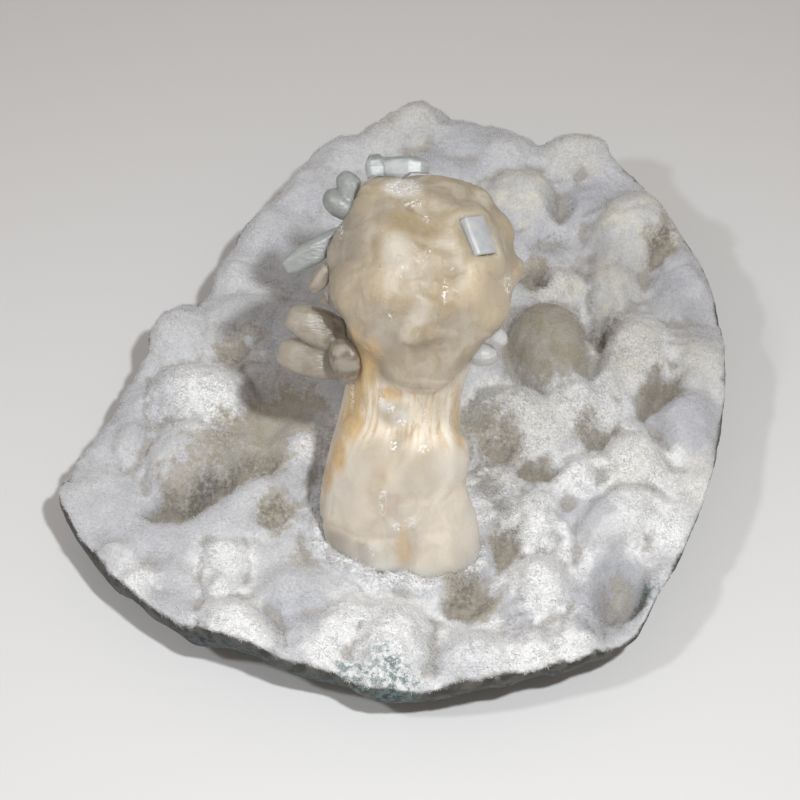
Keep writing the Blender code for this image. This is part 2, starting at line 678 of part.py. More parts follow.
def build_tablet(frame, material, clearance):
    """The pearly tablet: a low four-sided plate with a bevelled face, let into the head's shoulder."""
    azimuth, tilt, reach, short, long, thick, turn = TABLET
    bm = bmesh.new()
    bmesh.ops.create_cube(bm, size=MM)
    bmesh.ops.scale(bm, vec=(short, long, thick), verts=bm.verts)
    bmesh.ops.bevel(
        bm,
        geom=list(bm.edges),
        offset=TABLET_BEVEL * MM,
        affect="EDGES",
        segments=1,
        profile=0.5,
        material=-1,
    )
    tablet = object_from(bm, "pearly_tablet", material)
    way = Matrix.Rotation(math.radians(azimuth), 4, "Z") @ Matrix.Rotation(math.radians(tilt), 4, "Y")
    place = Matrix.Translation(millimetres(0.0, 0.0, HEAD_S))
    out = Matrix.Translation(millimetres(0.0, 0.0, reach - thick / 2))
    tablet.matrix_world = frame @ place @ way @ out @ Matrix.Rotation(math.radians(turn), 4, "Z")
    add_boolean(tablet, "DIFFERENCE", "seat in the head", group=clearance)
    return tablet


def build_specimen():
    clear_scene()
    chalcedony = make_material("chalcedony", (0.80, 0.79, 0.76), 0.85)
    stilbite = make_material("stilbite", (0.72, 0.60, 0.45), 0.35)
    pale_stilbite = make_material("pale_stilbite", (0.66, 0.61, 0.54), 0.35)
    clear_crystal = make_material("clear_crystal", (0.92, 0.95, 0.94), 0.06, 0.9, 1.53)
    pearly_crystal = make_material("pearly_crystal", (0.86, 0.87, 0.88), 0.25)

    _, shift = build_plate(chalcedony)
    frame = column_frame(shift)
    column = build_stalk(frame, stilbite)
    blades = [head_core(frame)] + head_blades(frame) + foot_blades(frame)
    clearance = helper_group([grown_copy(piece) for piece in [column] + blades], "column clearance")
    add_boolean(column, "UNION", "join the blades", group=helper_group(blades, "column blades"))
    add_boolean(column, "DIFFERENCE", "flat lower end", cutter=level_cutter(frame))

    for crystals, material in ((PALE_CRYSTALS, pale_stilbite), (CLEAR_CRYSTALS, clear_crystal)):
        for name, blades in crystals.items():
            build_cluster(name, frame, blades, material, clearance)
    build_tablet(frame, pearly_crystal, clearance)


build_specimen()
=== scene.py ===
import math
import time

import bmesh
import bpy
import numpy as np
from mathutils import Matrix, Vector, noise
from mathutils.bvhtree import BVHTree


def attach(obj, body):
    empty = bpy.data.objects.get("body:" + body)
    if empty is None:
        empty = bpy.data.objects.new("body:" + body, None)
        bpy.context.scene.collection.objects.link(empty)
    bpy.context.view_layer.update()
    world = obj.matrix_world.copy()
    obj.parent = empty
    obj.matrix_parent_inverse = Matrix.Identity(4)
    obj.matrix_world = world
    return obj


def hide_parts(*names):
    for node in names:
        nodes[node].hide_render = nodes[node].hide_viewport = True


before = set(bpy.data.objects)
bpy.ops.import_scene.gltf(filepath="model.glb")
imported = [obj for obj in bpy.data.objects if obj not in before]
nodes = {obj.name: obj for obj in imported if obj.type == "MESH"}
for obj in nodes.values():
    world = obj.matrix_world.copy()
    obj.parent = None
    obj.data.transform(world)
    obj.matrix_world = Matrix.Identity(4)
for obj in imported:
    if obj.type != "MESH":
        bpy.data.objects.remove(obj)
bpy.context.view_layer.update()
mm = 0.001
tiny = 1e-6  # metres
started = time.time()


def report(stage):
    print(f"{stage}: {time.time() - started:.1f} s")


# The camera stands in front of the specimen and looks down on it
cameraView = {
    "target": (-0.15, -6.1, 14.0),  # mm
    "distance": 324.9,  # mm
    "elevation": 50.0,  # degrees
    "lens": 85.0,
    "sensor": 36,  # mm
    "points": 800,  # across the picture
    "clip": (0.01, 10),  # metres
}


def makeCamera(view):
    tilt = math.radians(view["elevation"])
    away = Vector((0, -math.cos(tilt), math.sin(tilt)))
    camera = bpy.data.objects.new("camera", bpy.data.cameras.new("camera"))
    camera.data.lens = view["lens"]
    camera.data.clip_start, camera.data.clip_end = view["clip"]
    camera.location = (Vector(view["target"]) + away * view["distance"]) * mm
    camera.rotation_euler = (math.radians(90) - tilt, 0, 0)
    bpy.context.scene.collection.objects.link(camera)
    bpy.context.scene.camera = camera


makeCamera(cameraView)


# Small tools for meshes. All of them work in millimetres.


def getPoints(mesh):
    flat = np.empty(len(mesh.vertices) * 3)
    mesh.vertices.foreach_get("co", flat)
    return flat.reshape(-1, 3) / mm


def setPoints(mesh, points):
    mesh.vertices.foreach_set("co", (points * mm).ravel())
    mesh.update()


def getNormals(mesh):
    flat = np.empty(len(mesh.vertices) * 3)
    mesh.vertex_normals.foreach_get("vector", flat)
    return flat.reshape(-1, 3)


def getEdges(mesh):
    flat = np.empty(len(mesh.edges) * 2, dtype=np.int64)
    mesh.edges.foreach_get("vertices", flat)
    return flat.reshape(-1, 2)


def neighbourMean(values, edges, times):
    values = values.reshape(len(values), -1).astype(float)
    a, b = edges[:, 0], edges[:, 1]
    size = len(values)
    count = np.bincount(a, minlength=size) + np.bincount(b, minlength=size)
    for _ in range(times):
        total = np.empty_like(values)
        for k in range(values.shape[1]):
            column = values[:, k]
            total[:, k] = np.bincount(a, column[b], size) + np.bincount(b, column[a], size)
        values = (values + total / count[:, None]) / 2
    return values if values.shape[1] > 1 else values[:, 0]


def step(value, low, high):
    t = np.clip((value - low) / (high - low), 0, 1)
    return t * t * (3 - 2 * t)


cloudLook = {"shift": (17.3, 5.1, 9.7), "roughness": 0.7, "finer": 2.0}


def cloud(points, size, seed, octaves=1):
    shift = Vector([seed * push for push in cloudLook["shift"]])
    scale = 1 / size
    if octaves == 1:
        return np.array([noise.noise(Vector(p) * scale + shift) for p in points.tolist()])
    rough, finer = cloudLook["roughness"], cloudLook["finer"]
    return np.array([noise.fractal(Vector(p) * scale + shift, rough, finer, octaves) for p in points.tolist()])


def sidewaysPush(points, size, seed, octaves=1):
    pushes = [cloud(points, size, seed + k, octaves) for k in range(2)]
    return np.stack([*pushes, np.zeros(len(points))], axis=1)


def spots(points, places, outer=1.25, inner=0.45):
    total = np.zeros(len(points))
    for x, y, radius, strength in places:
        gap = np.hypot(points[:, 0] - x, points[:, 1] - y)
        total = np.maximum(total, strength * step(-gap, -radius * outer, -radius * inner))
    return total


def setAttribute(mesh, name, values):
    made = mesh.attributes.new(name, "FLOAT", "POINT")
    made.data.foreach_set("value", np.asarray(values, dtype=np.float32))


def nodeTree(nodeName):
    bm = bmesh.new()
    bm.from_mesh(nodes[nodeName].data)
    tree = BVHTree.FromBMesh(bm)
    bm.free()
    return tree


def mergedCopy(nodeName, pieceName):
    bm = bmesh.new()
    bm.from_mesh(nodes[nodeName].data)
    bmesh.ops.remove_doubles(bm, verts=bm.verts, dist=tiny)
    mesh = bpy.data.meshes.new(pieceName)
    bm.to_mesh(mesh)
    bm.free()
    piece = bpy.data.objects.new(pieceName, mesh)
    bpy.context.scene.collection.objects.link(piece)
    return piece


def applyModifiers(piece):
    graph = bpy.context.evaluated_depsgraph_get()
    mesh = bpy.data.meshes.new_from_object(piece.evaluated_get(graph))
    old = piece.data
    piece.modifiers.clear()
    piece.data = mesh
    bpy.data.meshes.remove(old)
    mesh.name = piece.name


def finishPiece(piece, nodeNames, material):
    piece.data.materials.clear()
    piece.data.materials.append(material)
    piece.data.shade_smooth()
    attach(piece, "root")
    if nodeNames:
        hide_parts(*nodeNames)
    report(piece.name)


# Small tools for materials


class NodeKit:
    def __init__(self, name):
        self.material = bpy.data.materials.new(name)
        self.material.use_nodes = True
        self.tree = self.material.node_tree
        self.shader = self.tree.nodes["Principled BSDF"]
        self.place = self.add("ShaderNodeTexCoord").outputs["Object"]

    def add(self, kind, **settings):
        node = self.tree.nodes.new(kind)
        for key, value in settings.items():
            setattr(node, key, value)
        return node

    def plug(self, source, socket):
        if isinstance(source, bpy.types.NodeSocket):
            self.tree.links.new(source, socket)
        elif source is not None:
            socket.default_value = source

    def attribute(self, name):
        return self.add("ShaderNodeAttribute", attribute_name=name).outputs["Fac"]

    def share(self, name, amount):
        return self.math("MULTIPLY", self.attribute(name), amount)

    def noise(self, size, detail=3.0, rough=0.55, stretch=(1, 1, 1), warp=0.0):
        mapping = self.add("ShaderNodeMapping")
        mapping.inputs["Scale"].default_value = stretch
        self.plug(self.place, mapping.inputs["Vector"])
        node = self.add("ShaderNodeTexNoise")
        self.plug(mapping.outputs[0], node.inputs["Vector"])
        node.inputs["Scale"].default_value = 1 / (size * mm)
        node.inputs["Detail"].default_value = detail
        node.inputs["Roughness"].default_value = rough
        node.inputs["Distortion"].default_value = warp
        return node.outputs["Fac"]

    def ramp(self, source, low, high, start=0.0, end=1.0):
        node = self.add("ShaderNodeMapRange", interpolation_type="SMOOTHSTEP")
        self.plug(source, node.inputs["Value"])
        for socket, value in zip(("From Min", "From Max", "To Min", "To Max"), (low, high, start, end)):
            node.inputs[socket].default_value = value
        return node.outputs["Result"]

    def math(self, operation, a, b=None, clamp=False):
        node = self.add("ShaderNodeMath", operation=operation, use_clamp=clamp)
        self.plug(a, node.inputs[0])
        self.plug(b, node.inputs[1])
        return node.outputs[0]

    def mix(self, share, a, b, blend="MIX"):
        node = self.add("ShaderNodeMix", data_type="RGBA", blend_type=blend)
        self.plug(share, node.inputs["Factor"])
        for value, socket in ((a, node.inputs["A"]), (b, node.inputs["B"])):
            if isinstance(value, tuple):
                value = (*value, 1.0)
            self.plug(value, socket)
        return node.outputs["Result"]

    def bump(self, height, distance, strength=1.0, under=None):
        node = self.add("ShaderNodeBump")
        self.plug(height, node.inputs["Height"])
        node.inputs["Distance"].default_value = distance * mm
        node.inputs["Strength"].default_value = strength
        self.plug(under, node.inputs["Normal"])
        return node.outputs[0]

    def set(self, **values):
        for key, value in values.items():
            self.plug(value, self.shader.inputs[key.replace("_", " ")])


# The stilbite column, in millimetres. Its axis leans, and the stalk and the head are places along it.
column = {
    "foot": (-0.15, -30.1, 12.3),
    "leanBack": 10.9,  # degrees
    "leanRight": 3.7,  # degrees
    "voxel": 0.3,
    "stalk": (19.0, 25.0, 34.0, 38.0),
    "head": (30, 35),
    "lowPart": (-30, -14),
    "facing": (0.0, 0.35),  # how far a face turns to the camera
    "wander": 5,  # how far the edges of the forms stray, in points of the picture
    "wanderSize": 6.0,
    "stalkSmoothing": 10,
    "stalkKept": 0.75,  # share of the stalk's flutes that is kept
    "smoothing": 90,
    "melting": 300,  # smoothing where the head runs into the stalk
    "swell": 0.35,  # what the smoothing takes off, in millimetres
    "lineWidth": 1.3,
    "lineDepth": 0.35,
    "flute": 0.16,
    "fluteWidth": 0.42,
    "fluteRound": 9,
    "fluteAlong": 0.05,
    "fluteElsewhere": 0.06,
    "fluteTint": 2.0,
    "wing": ((2, 7), (2, 10)),  # where the left flank is striped, across and up
    "wingStripes": 0.6,
    "tabletLip": 1.1,
    "tabletReach": 9,
    "tabletSlope": (-4.5, -0.7),
    "headRelief": 0.72,  # share of the head's forms that is used
    "facet": 0.04,
    "facetSize": 5.2,
    "facetTurn": 7.3,
    "facetElsewhere": 0.15,
    "ripple": 0.11,
    "rippleLoss": 0.6,
    "rippleSize": 5.0,
    "grain": 0.035,
    "grainSize": 0.9,
    "hollowBlur": 40,
    "hollowGain": 2.5,
}

# The chalcedony crust, in millimetres in the row's frame. A pair is where a change starts and where it ends.
crust = {
    "levels": 2,
    "sharpAngle": 55,  # degrees; steeper edges of the rim stay sharp
    "sideTilt": 0.2,
    "rimSharpness": 0.55,
    "baseSharpness": 0.8,
    "topTilt": (0.0, 0.35),  # how level a face is that belongs to the top
    "topHeight": (5, 8),
    "inside": (0.5, 3.0),  # distance in from the outline
    "middle": (1.0, -2.0),
    "angles": 96,
    "rimDepth": 1.6,
    "creaseBack": 1.9,  # how much of the lumps' relief the smoothing took away is put back
    "blur": 14,
    "stray": 2.6,  # how far the edges of the places wander
    "straySize": 5.0,
    "fraySize": 1.5,
    "stainAndShadowEdge": (1.2, 0.55),
    "pitStray": 0.35,
    "pitWall": (-1.15, -0.75),
    "pitShade": (-1.1, -0.7),
    "creaseStray": 0.5,
    "creaseStraySize": 2.4,
    "leastFuzz": 0.35,
    "tuft": 0.34,  # height of the tufts on the snowy parts
    "tuftSize": 1.5,
    "felt": 0.30,  # unevenness of the felted parts
    "feltSize": 2.6,
    "feltLoss": 0.6,  # share of it that the back right lacks
    "plaster": 0.10,  # unevenness of the smooth parts
    "plasterSize": 3.4,
    "backRight": ((8, 24), (-20, 6)),  # across and back, where the plaster lies in flat patches
    "crackDepth": 0.35,  # the creases between those patches
    "crackSize": 6.5,
    "crackWidth": 0.10,
    "crackFlat": 0.3,
    "crackElsewhere": 0.25,
    "backLeft": ((4, 14), (8, 18)),  # across and back, where the smooth slope has low steps
    "terraceDepth": 0.25,
    "terraceSize": 4.2,
    "terraceStray": 0.5,
    "terraceWave": 9.0,
    "sideRelief": 0.35,
    "baseFade": (0.02, 2.0),
    "footReach": 26,
    "lip": 1.9,  # height of the snow that laps against the column's foot
    "lipReach": 3.0,
    "lipFull": 0.6,
    "lipWave": 0.5,
    "lipWaveSize": 2.2,
    "lipSnow": 0.9,
    "hollowBlur": 30,
    "hollowGain": 1.2,
    "rimFuzz": 0.7,  # how far the white comes down the side before the band of painted shade, above the rind, starts
    "rimWave": 0.5,
    "rimWaveSize": 3.0,
    "rimEdge": 0.6,
    "nearRim": (-5.0, -2.5),
    "steep": (-0.85, -0.6),
    "underside": (-0.1, 0.3),
    "bandWidth": 2.2,
    "bandWave": 0.8,
    "bandWaveSize": 5.0,
    "bandEdge": 1.2,
}
# Where the crust is snowy: x, y, radius, strength
snowyPlaces = (
    (-34, -8, 9, 0.9),
    (-26, -53, 8, 0.9),
    (-28, -40, 6, 0.6),
    (-43, -44, 5, 0.6),
    (-4, -54, 11, 1.0),
    (10, -57, 9, 0.9),
    (22, -56, 9, 0.9),
    (22, -45, 7, 1.0),
    (27, -40, 6, 1.0),
    (41, -44, 4, 0.7),
    (21, -32, 8, 1.0),
    (30, -24, 7, 1.0),
    (39, -20, 8, 1.0),
    (19, -11, 10, 1.0),
    (31, -8, 8, 1.0),
    (40, 3, 9, 0.8),
    (28, 18, 5, 0.6),
    (33, 10, 4, 1.0),
    (14, -26, 7, 1.0),
    (45, -25, 6, 0.6),
    (42, -33, 6, 0.7),
    (36, -31, 7, 0.5),
    (-13, -15, 6, 0.5),
)
# Where it is smooth and nearly bare
barePlaces = (
    (25.2, 3.6, 8.8, 1.0),
    (48, -11, 7.5, 0.9),
    (42, 29, 12, 0.8),
    (50, 20, 8, 0.8),
    (34, 37, 6, 0.9),
    (22, 38, 8, 0.6),
    (34.4, -45, 6.4, 1.0),
    (29.6, -31, 4.0, 0.8),
    (18, -50.4, 3.8, 0.8),
    (30.2, -50.6, 3.2, 0.7),
    (10.8, -45.4, 5.6, 0.9),
    (16.4, -35.4, 4.0, 0.9),
    (22.8, -21.6, 3.6, 0.8),
    (16.4, -17.6, 3.2, 0.8),
    (12, -13.5, 3.4, 0.7),
    (-20, -8, 8, 0.7),
)
# Where it is stained brownish grey, and where a shadow is painted on in the same brownish grey
brownPlaces = (
    (25.4, 4.0, 9.4, 1.2),
    (10.6, -45.6, 5.4, 1.0),
    (16.6, -36.4, 4.4, 1.0),
    (22.8, -21.4, 3.8, 0.9),
    (16.4, -16.4, 5.0, 0.8),
    (12.0, -11.4, 4.6, 0.8),
    (14.0, -22.0, 3.4, 0.5),
    (-23.5, -14.5, 7.0, 1.1),
    (-18.0, -9.0, 6.0, 1.1),
    (-19.5, -7.5, 8.5, 0.6),
    (-24.5, -19.5, 5.6, 0.9),
    (-31.5, -20.0, 6.0, 0.8),
    (-20.6, -30.2, 4.6, 0.9),
    (-29.0, 4.2, 5.0, 0.8),
    (-36.5, -26.0, 5.0, 0.9),
    (-16.0, -38.6, 3.0, 0.6),
    (-13.5, -17.0, 5.0, 0.4),
    (34.8, 8.2, 4.0, 1.0),
    (23.4, 20.8, 4.6, 1.0),
    (45.0, -5.4, 3.6, 1.0),
    (42.0, -8.6, 3.2, 0.9),
    (34.0, -14.6, 4.6, 0.9),
    (46.0, 24.4, 3.4, 0.8),
    (48.6, 28.6, 3.0, 0.7),
)
# Steep hollows: x, y, half length, half width, the angle of the length, depth, and how dark their painted shade
# is
pitPlaces = (
    (34.8, -45.0, 6.4, 4.0, 75, 2.4, 0.35),
    (-38.0, -29.4, 4.4, 2.4, 10, 2.3, 1.0),
    (-31.0, -26.0, 6.2, 2.8, 38, 2.3, 1.0),
    (-24.8, -21.0, 5.6, 3.2, 44, 1.9, 0.9),
    (17.0, -35.6, 4.8, 2.3, 65, 1.5, 0.8),
    (10.8, -46.0, 5.2, 2.8, 35, 1.3, 0.9),
    (45.2, -5.4, 5.8, 1.7, 48, 1.7, 0.9),
    (34.4, 8.2, 5.0, 1.8, 96, 1.5, 0.8),
    (47.2, 26.0, 5.2, 1.6, 62, 1.5, 0.8),
    (23.4, 20.6, 4.2, 2.0, -35, 1.3, 0.8),
    (22.8, -21.4, 4.6, 2.2, -15, 1.4, 0.8),
    (34.0, -14.4, 3.6, 3.0, 60, 1.3, 0.7),
    (-20.8, -30.4, 4.4, 2.3, 32, 1.2, 0.8),
    (-29.0, 4.4, 3.8, 2.8, 60, 0.9, 0.7),
    (15.8, -17.0, 3.4, 2.4, 60, 0.9, 0.6),
    (30.4, -51.0, 4.0, 2.4, 90, 0.8, 0.5),
    (18.0, -51.2, 4.2, 2.8, 20, 0.8, 0.5),
    (30.0, 38.0, 4.4, 2.0, 85, 0.9, 0.5),
    (27.4, 29.0, 4.2, 2.6, 20, 0.8, 0.5),
)
# Where it is a cool lilac grey
lilacPlaces = (
    (33.6, 37.4, 7, 1.0),
    (50, 20, 7, 0.9),
    (48, -12, 6.4, 0.9),
    (34.2, -45.2, 7.2, 1.0),
    (30.0, -30.4, 5.4, 0.5),
    (18, -50.4, 4.4, 0.9),
    (30.2, -50.6, 3.6, 0.8),
    (10, 49, 9, 0.6),
    (-20, 33, 12, 0.5),
    (-46, -8, 9, 0.7),
    (-36, -50, 7, 0.5),
    (-41, -32, 7, 0.4),
    (-17, -49, 6, 1.0),
    (9, -59, 6, 0.5),
    (26, 29, 5, 0.8),
)
# Where it is cream
creamPlaces = (
    (22, 38, 7, 1.0),
    (43, 29, 9, 0.9),
    (28, 18, 5, 0.8),
    (33, 49, 6, 0.7),
    (40, 3, 8, 0.7),
    (0, 54, 8, 0.6),
    (38, 18, 6, 0.8),
    (52, 2, 8, 0.6),
    (52, -24, 7, 0.5),
    (38, -20, 8, 0.4),
    (20, -11, 9, 0.4),
)
# Where a teal stain lies over the rim
stainPlaces = (
    (-6.4, -61.4, 3.2, 0.9),
    (-0.8, -61.8, 3.4, 0.9),
    (41.8, -46.0, 2.4, 0.8),
)
# Narrow creases between the lumps: width, depth, and the points that each runs through
creaseLines = (
    (0.9, 1.1, ((-42.5, -11.6), (-38.5, -12.6), (-33.0, -13.4), (-27.0, -12.8), (-24.5, -10.0))),
    (0.7, 0.7, ((-44.0, -1.5), (-43.6, -8.0), (-43.0, -13.0), (-42.4, -20.0), (-42.0, -26.0))),
    (0.6, 0.6, ((-48.6, -13.0), (-48.4, -19.0), (-46.0, -22.0), (-43.6, -20.6))),
    (1.1, 1.4, (
        (-41.0, -28.6), (-38.6, -29.8), (-35.0, -29.8), (-31.5, -28.0), (-27.0, -24.6), (-22.5, -20.6),
    )),
    (0.7, 0.7, ((-25.2, -36.0), (-24.4, -40.0), (-25.0, -43.0), (-26.0, -46.2))),
    (0.7, 0.6, ((-31.6, -36.0), (-32.2, -41.0), (-31.6, -45.6), (-31.8, -49.0))),
    (0.8, 0.9, ((-32.0, -49.0), (-32.6, -53.5), (-30.0, -57.6))),
    (0.8, 0.8, ((-19.6, -50.0), (-18.2, -54.4), (-17.6, -59.0))),
    (0.6, 0.2, ((-40.2, -40.4), (-39.2, -44.6), (-39.4, -48.6))),
    (0.8, 0.9, ((5.2, -50.0), (5.0, -55.0), (5.6, -60.0))),
    (0.9, 1.0, ((46.6, -1.8), (43.6, -6.4), (41.0, -8.8), (42.4, -12.4), (45.0, -17.6))),
    (1.0, 1.2, ((36.0, 12.4), (34.6, 9.0), (34.6, 4.4), (35.4, 0.8))),
    (0.9, 1.0, ((26.6, 16.2), (24.0, 19.4), (21.6, 22.4))),
    (0.8, 0.8, ((40.4, 19.8), (44.4, 22.0), (48.0, 26.4), (49.6, 31.0))),
    (0.7, 0.6, ((33.2, 13.6), (33.4, 19.0), (34.4, 24.0))),
    (0.7, 0.7, ((40.6, 17.0), (42.4, 20.0))),
    (0.8, 0.8, ((45.4, 10.4), (50.0, 10.8), (56.6, 10.6))),
    (0.8, 0.7, ((29.4, 33.6), (29.8, 37.0), (29.0, 41.4))),
    (0.7, 0.6, ((13.6, 39.0), (15.0, 43.6), (20.0, 45.2), (25.6, 43.6))),
    (0.7, 0.6, ((27.4, 43.4), (32.0, 44.6), (38.0, 45.6), (41.6, 42.6))),
    (1.2, 1.7, ((28.2, -38.6), (28.6, -33.0), (31.4, -28.6), (36.0, -26.0), (41.0, -25.4))),
    (0.7, 0.7, ((31.6, -40.6), (31.0, -46.0), (32.2, -52.0))),
    (0.7, 0.6, ((15.4, -46.8), (16.4, -50.6), (15.6, -53.6))),
    (1.0, 1.5, ((19.0, 10.0), (18.4, 4.0), (20.0, -2.0), (24.0, -6.0))),
    (1.0, 1.2, ((20.0, 12.0), (26.0, 14.4), (31.0, 13.2))),
    (0.6, 0.4, ((-33.0, 23.4), (-26.0, 23.0), (-18.0, 20.6))),
    (0.6, 0.4, ((-30.0, 15.8), (-22.0, 15.6), (-14.0, 14.4))),
)


def rimProfile(points):
    middle = np.array(crust["middle"])
    offset = points[:, :2] - middle
    angle = np.arctan2(offset[:, 1], offset[:, 0])
    reach = np.hypot(offset[:, 0], offset[:, 1])
    slots = ((angle + math.pi) / (2 * math.pi) * crust["angles"]).astype(int) % crust["angles"]
    radius = np.zeros(crust["angles"])
    height = np.zeros(crust["angles"])
    for k in range(crust["angles"]):
        mine = slots == k
        radius[k] = reach[mine].max()
        outer = mine & (reach > radius[k] - crust["rimDepth"])
        height[k] = points[outer, 2].max()
    centres = (np.arange(crust["angles"]) + 0.5) / crust["angles"] * 2 * math.pi - math.pi
    edge = np.interp(angle, centres, radius, period=2 * math.pi)
    top = np.interp(angle, centres, height, period=2 * math.pi)
    return reach - edge, top - points[:, 2]


def ovalReach(spot, x, y, wide, high, turn=0.0):
    turn = math.radians(turn)
    dx, dy = spot[:, 0] - x, spot[:, 1] - y
    along = (dx * math.cos(turn) + dy * math.sin(turn)) / wide
    across = (dy * math.cos(turn) - dx * math.sin(turn)) / high
    return np.hypot(along, across)


def lineDistance(points, line):
    best = np.full(len(points), np.inf)
    for start, end in zip(line, line[1:]):
        start, end = np.array(start), np.array(end)
        along = end - start
        share = np.clip(((points[:, :2] - start) @ along) / (along @ along), 0, 1)
        gap = points[:, :2] - start - share[:, None] * along
        best = np.minimum(best, np.hypot(gap[:, 0], gap[:, 1]))
    return best


def creaseDepth(points):
    depth = np.zeros(len(points))
    stray = crust["creaseStray"] * cloud(points, crust["creaseStraySize"], seed=31)
    for width, deep, line in creaseLines:
        gap = (lineDistance(points, line) + stray) / width
        depth = np.maximum(depth, deep * np.exp(-gap * gap))
    return depth


def crackDepth(points):
    scale = 1 / crust["crackSize"]
    edges = np.empty(len(points))
    for k, (x, y, z) in enumerate((points * scale).tolist()):
        near = noise.voronoi(Vector((x, y, crust["crackFlat"] * z)))[0]
        edges[k] = near[1] - near[0]
    return np.exp(-((edges / crust["crackWidth"]) ** 2))


def footDistance(points):
    # Distance to the column, and whether it stands straight above
    tree = nodeTree("stilbite_column")
    far = np.full(len(points), np.inf)
    under = np.zeros(len(points), dtype=bool)
    middle = np.array(column["foot"][:2])
    near = np.hypot(*(points[:, :2] - middle).T) < crust["footReach"]
    for k in np.flatnonzero(near):
        here = Vector(points[k]) * mm
        far[k] = tree.find_nearest(here)[3] / mm
        under[k] = tree.ray_cast(here, Vector((0, 0, 1)))[0] is not None
    return far, under


def sharpenRim(mesh):
    bm = bmesh.new()
    bm.from_mesh(mesh)
    sharpness = bm.edges.layers.float.new("crease_edge")
    for edge in bm.edges:
        top = max(v.co.z for v in edge.verts)
        sharp = edge.calc_face_angle(0) > math.radians(crust["sharpAngle"])
        if sharp and top > crust["topHeight"][0] * mm:
            level = min(f.normal.z for f in edge.link_faces)
            edge[sharpness] = crust["rimSharpness"] if level < crust["sideTilt"] else 0.0
        if top < tiny:
            edge[sharpness] = crust["baseSharpness"]
    bm.to_mesh(mesh)
    bm.free()


def sinkPits(points, stray, onTop, inner):
    shade = np.zeros(len(points))
    for x, y, long, wide, angle, depth, dark in pitPlaces:
        reach = ovalReach(points + crust["pitStray"] * stray, x, y, long, wide, angle)
        points[:, 2] -= depth * onTop * inner * step(-reach, *crust["pitWall"])
        shade = np.maximum(shade, dark * step(-reach, *crust["pitShade"]))
    return shade


def surfaceLift(points, snowy, bare, fuzzy, inner):
    # Tufts, felt and plaster, less the cracks between the flat patches and the low steps
    toRight, toBack = crust["backRight"]
    backRight = step(points[:, 0], *toRight) * step(points[:, 1], *toBack)
    toLeft, toBack = crust["backLeft"]
    backLeft = step(-points[:, 0], *toLeft) * step(points[:, 1], *toBack)
    cracks = crackDepth(points) * np.maximum(backRight, crust["crackElsewhere"] * (1 - snowy))
    wave = crust["terraceStray"] * cloud(points, crust["terraceWave"], seed=8)
    height = points[:, 2] / crust["terraceSize"] + wave
    terraces = np.abs(height - np.round(height)) * 2
    tufts = cloud(points, crust["tuftSize"], seed=1, octaves=3)
    felt = cloud(points, crust["feltSize"], seed=3, octaves=3)
    plaster = cloud(points, crust["plasterSize"], seed=2, octaves=3)
    lift = crust["tuft"] * fuzzy * tufts + crust["plaster"] * plaster
    lift += crust["felt"] * (1 - fuzzy) * (1 - bare) * (1 - crust["feltLoss"] * backRight) * felt
    lift -= crust["crackDepth"] * cracks * inner + crust["terraceDepth"] * backLeft * terraces
    return lift


def buildCrust():
    piece = mergedCopy("chalcedony_crust", "crust")
    sharpenRim(piece.data)
    smooth = piece.modifiers.new("smooth", "SUBSURF")
    smooth.levels = smooth.render_levels = crust["levels"]
    applyModifiers(piece)
    mesh = piece.data

    points = getPoints(mesh)
    normals = getNormals(mesh)
    edges = getEdges(mesh)
    beyond, below = rimProfile(points)
    onTop = step(normals[:, 2], *crust["topTilt"]) * step(points[:, 2], *crust["topHeight"])
    hollow = ((neighbourMean(points, edges, crust["blur"]) - points) * normals).sum(1)
    inner = step(-beyond, *crust["inside"])
    points -= normals * (hollow * crust["creaseBack"] * onTop * inner)[:, None]

    stray = sidewaysPush(points, crust["straySize"], 51, 3) * crust["stray"]
    wandering = points + stray
    frayed = wandering + sidewaysPush(points, crust["fraySize"], 53, 2)
    snowy = spots(wandering, snowyPlaces)
    bare = spots(wandering, barePlaces)
    brown = spots(frayed, brownPlaces, *crust["stainAndShadowEdge"])
    shade = sinkPits(points, stray, onTop, inner)
    fuzzy = np.clip(crust["leastFuzz"] + (1 - crust["leastFuzz"]) * snowy - bare, 0, 1)
    points[:, 2] -= creaseDepth(points) * onTop * inner
    lift = surfaceLift(points, snowy, bare, fuzzy, inner)
    lift *= crust["sideRelief"] + (1 - crust["sideRelief"]) * onTop
    points += normals * (lift * step(points[:, 2], *crust["baseFade"]))[:, None]
    points[:, 2] = np.maximum(points[:, 2], 0)
    far, under = footDistance(points)
    lip = step(-far, -crust["lipReach"], -crust["lipFull"]) * ~under * onTop
    wave = crust["lipWave"] * cloud(points, crust["lipWaveSize"], seed=61, octaves=2)
    points[:, 2] += lip * crust["lip"] * (1 + wave)
    setPoints(mesh, points)

    normals = getNormals(mesh)
    hollow = ((neighbourMean(points, edges, crust["hollowBlur"]) - points) * normals).sum(1)
    fringe = crust["rimFuzz"] + crust["rimWave"] * cloud(points, crust["rimWaveSize"], seed=5, octaves=2)
    rimBand = step(beyond, *crust["nearRim"]) * step(below, fringe, fringe + crust["rimEdge"])
    rimBand *= step(-normals[:, 2], *crust["steep"])
    # The steep band just under the rim and every face that turns down are the side: the fuzz thins there, and
    # it is painted in the shade of the band, as rind lower down
    side = np.maximum(rimBand, step(-normals[:, 2], *crust["underside"]))
    wave = crust["bandWave"] * cloud(points, crust["bandWaveSize"], seed=6, octaves=2)
    attributes = {
        "hollow": np.clip(hollow * crust["hollowGain"], -1, 1),
        "snowy": np.maximum(fuzzy, crust["lipSnow"] * lip),
        "lip": lip,
        "side": side,
        "rind": step(below - crust["bandWidth"] - wave, 0.0, crust["bandEdge"]) * side,
        "stain": spots(wandering, stainPlaces),
        "brown": brown,
        "shade": shade,
        "lilac": spots(wandering, lilacPlaces),
        "cream": spots(wandering, creamPlaces),
    }
    for name, values in attributes.items():
        setAttribute(mesh, name, values)
    finishPiece(piece, ["chalcedony_crust"], crustMaterial())
    return piece


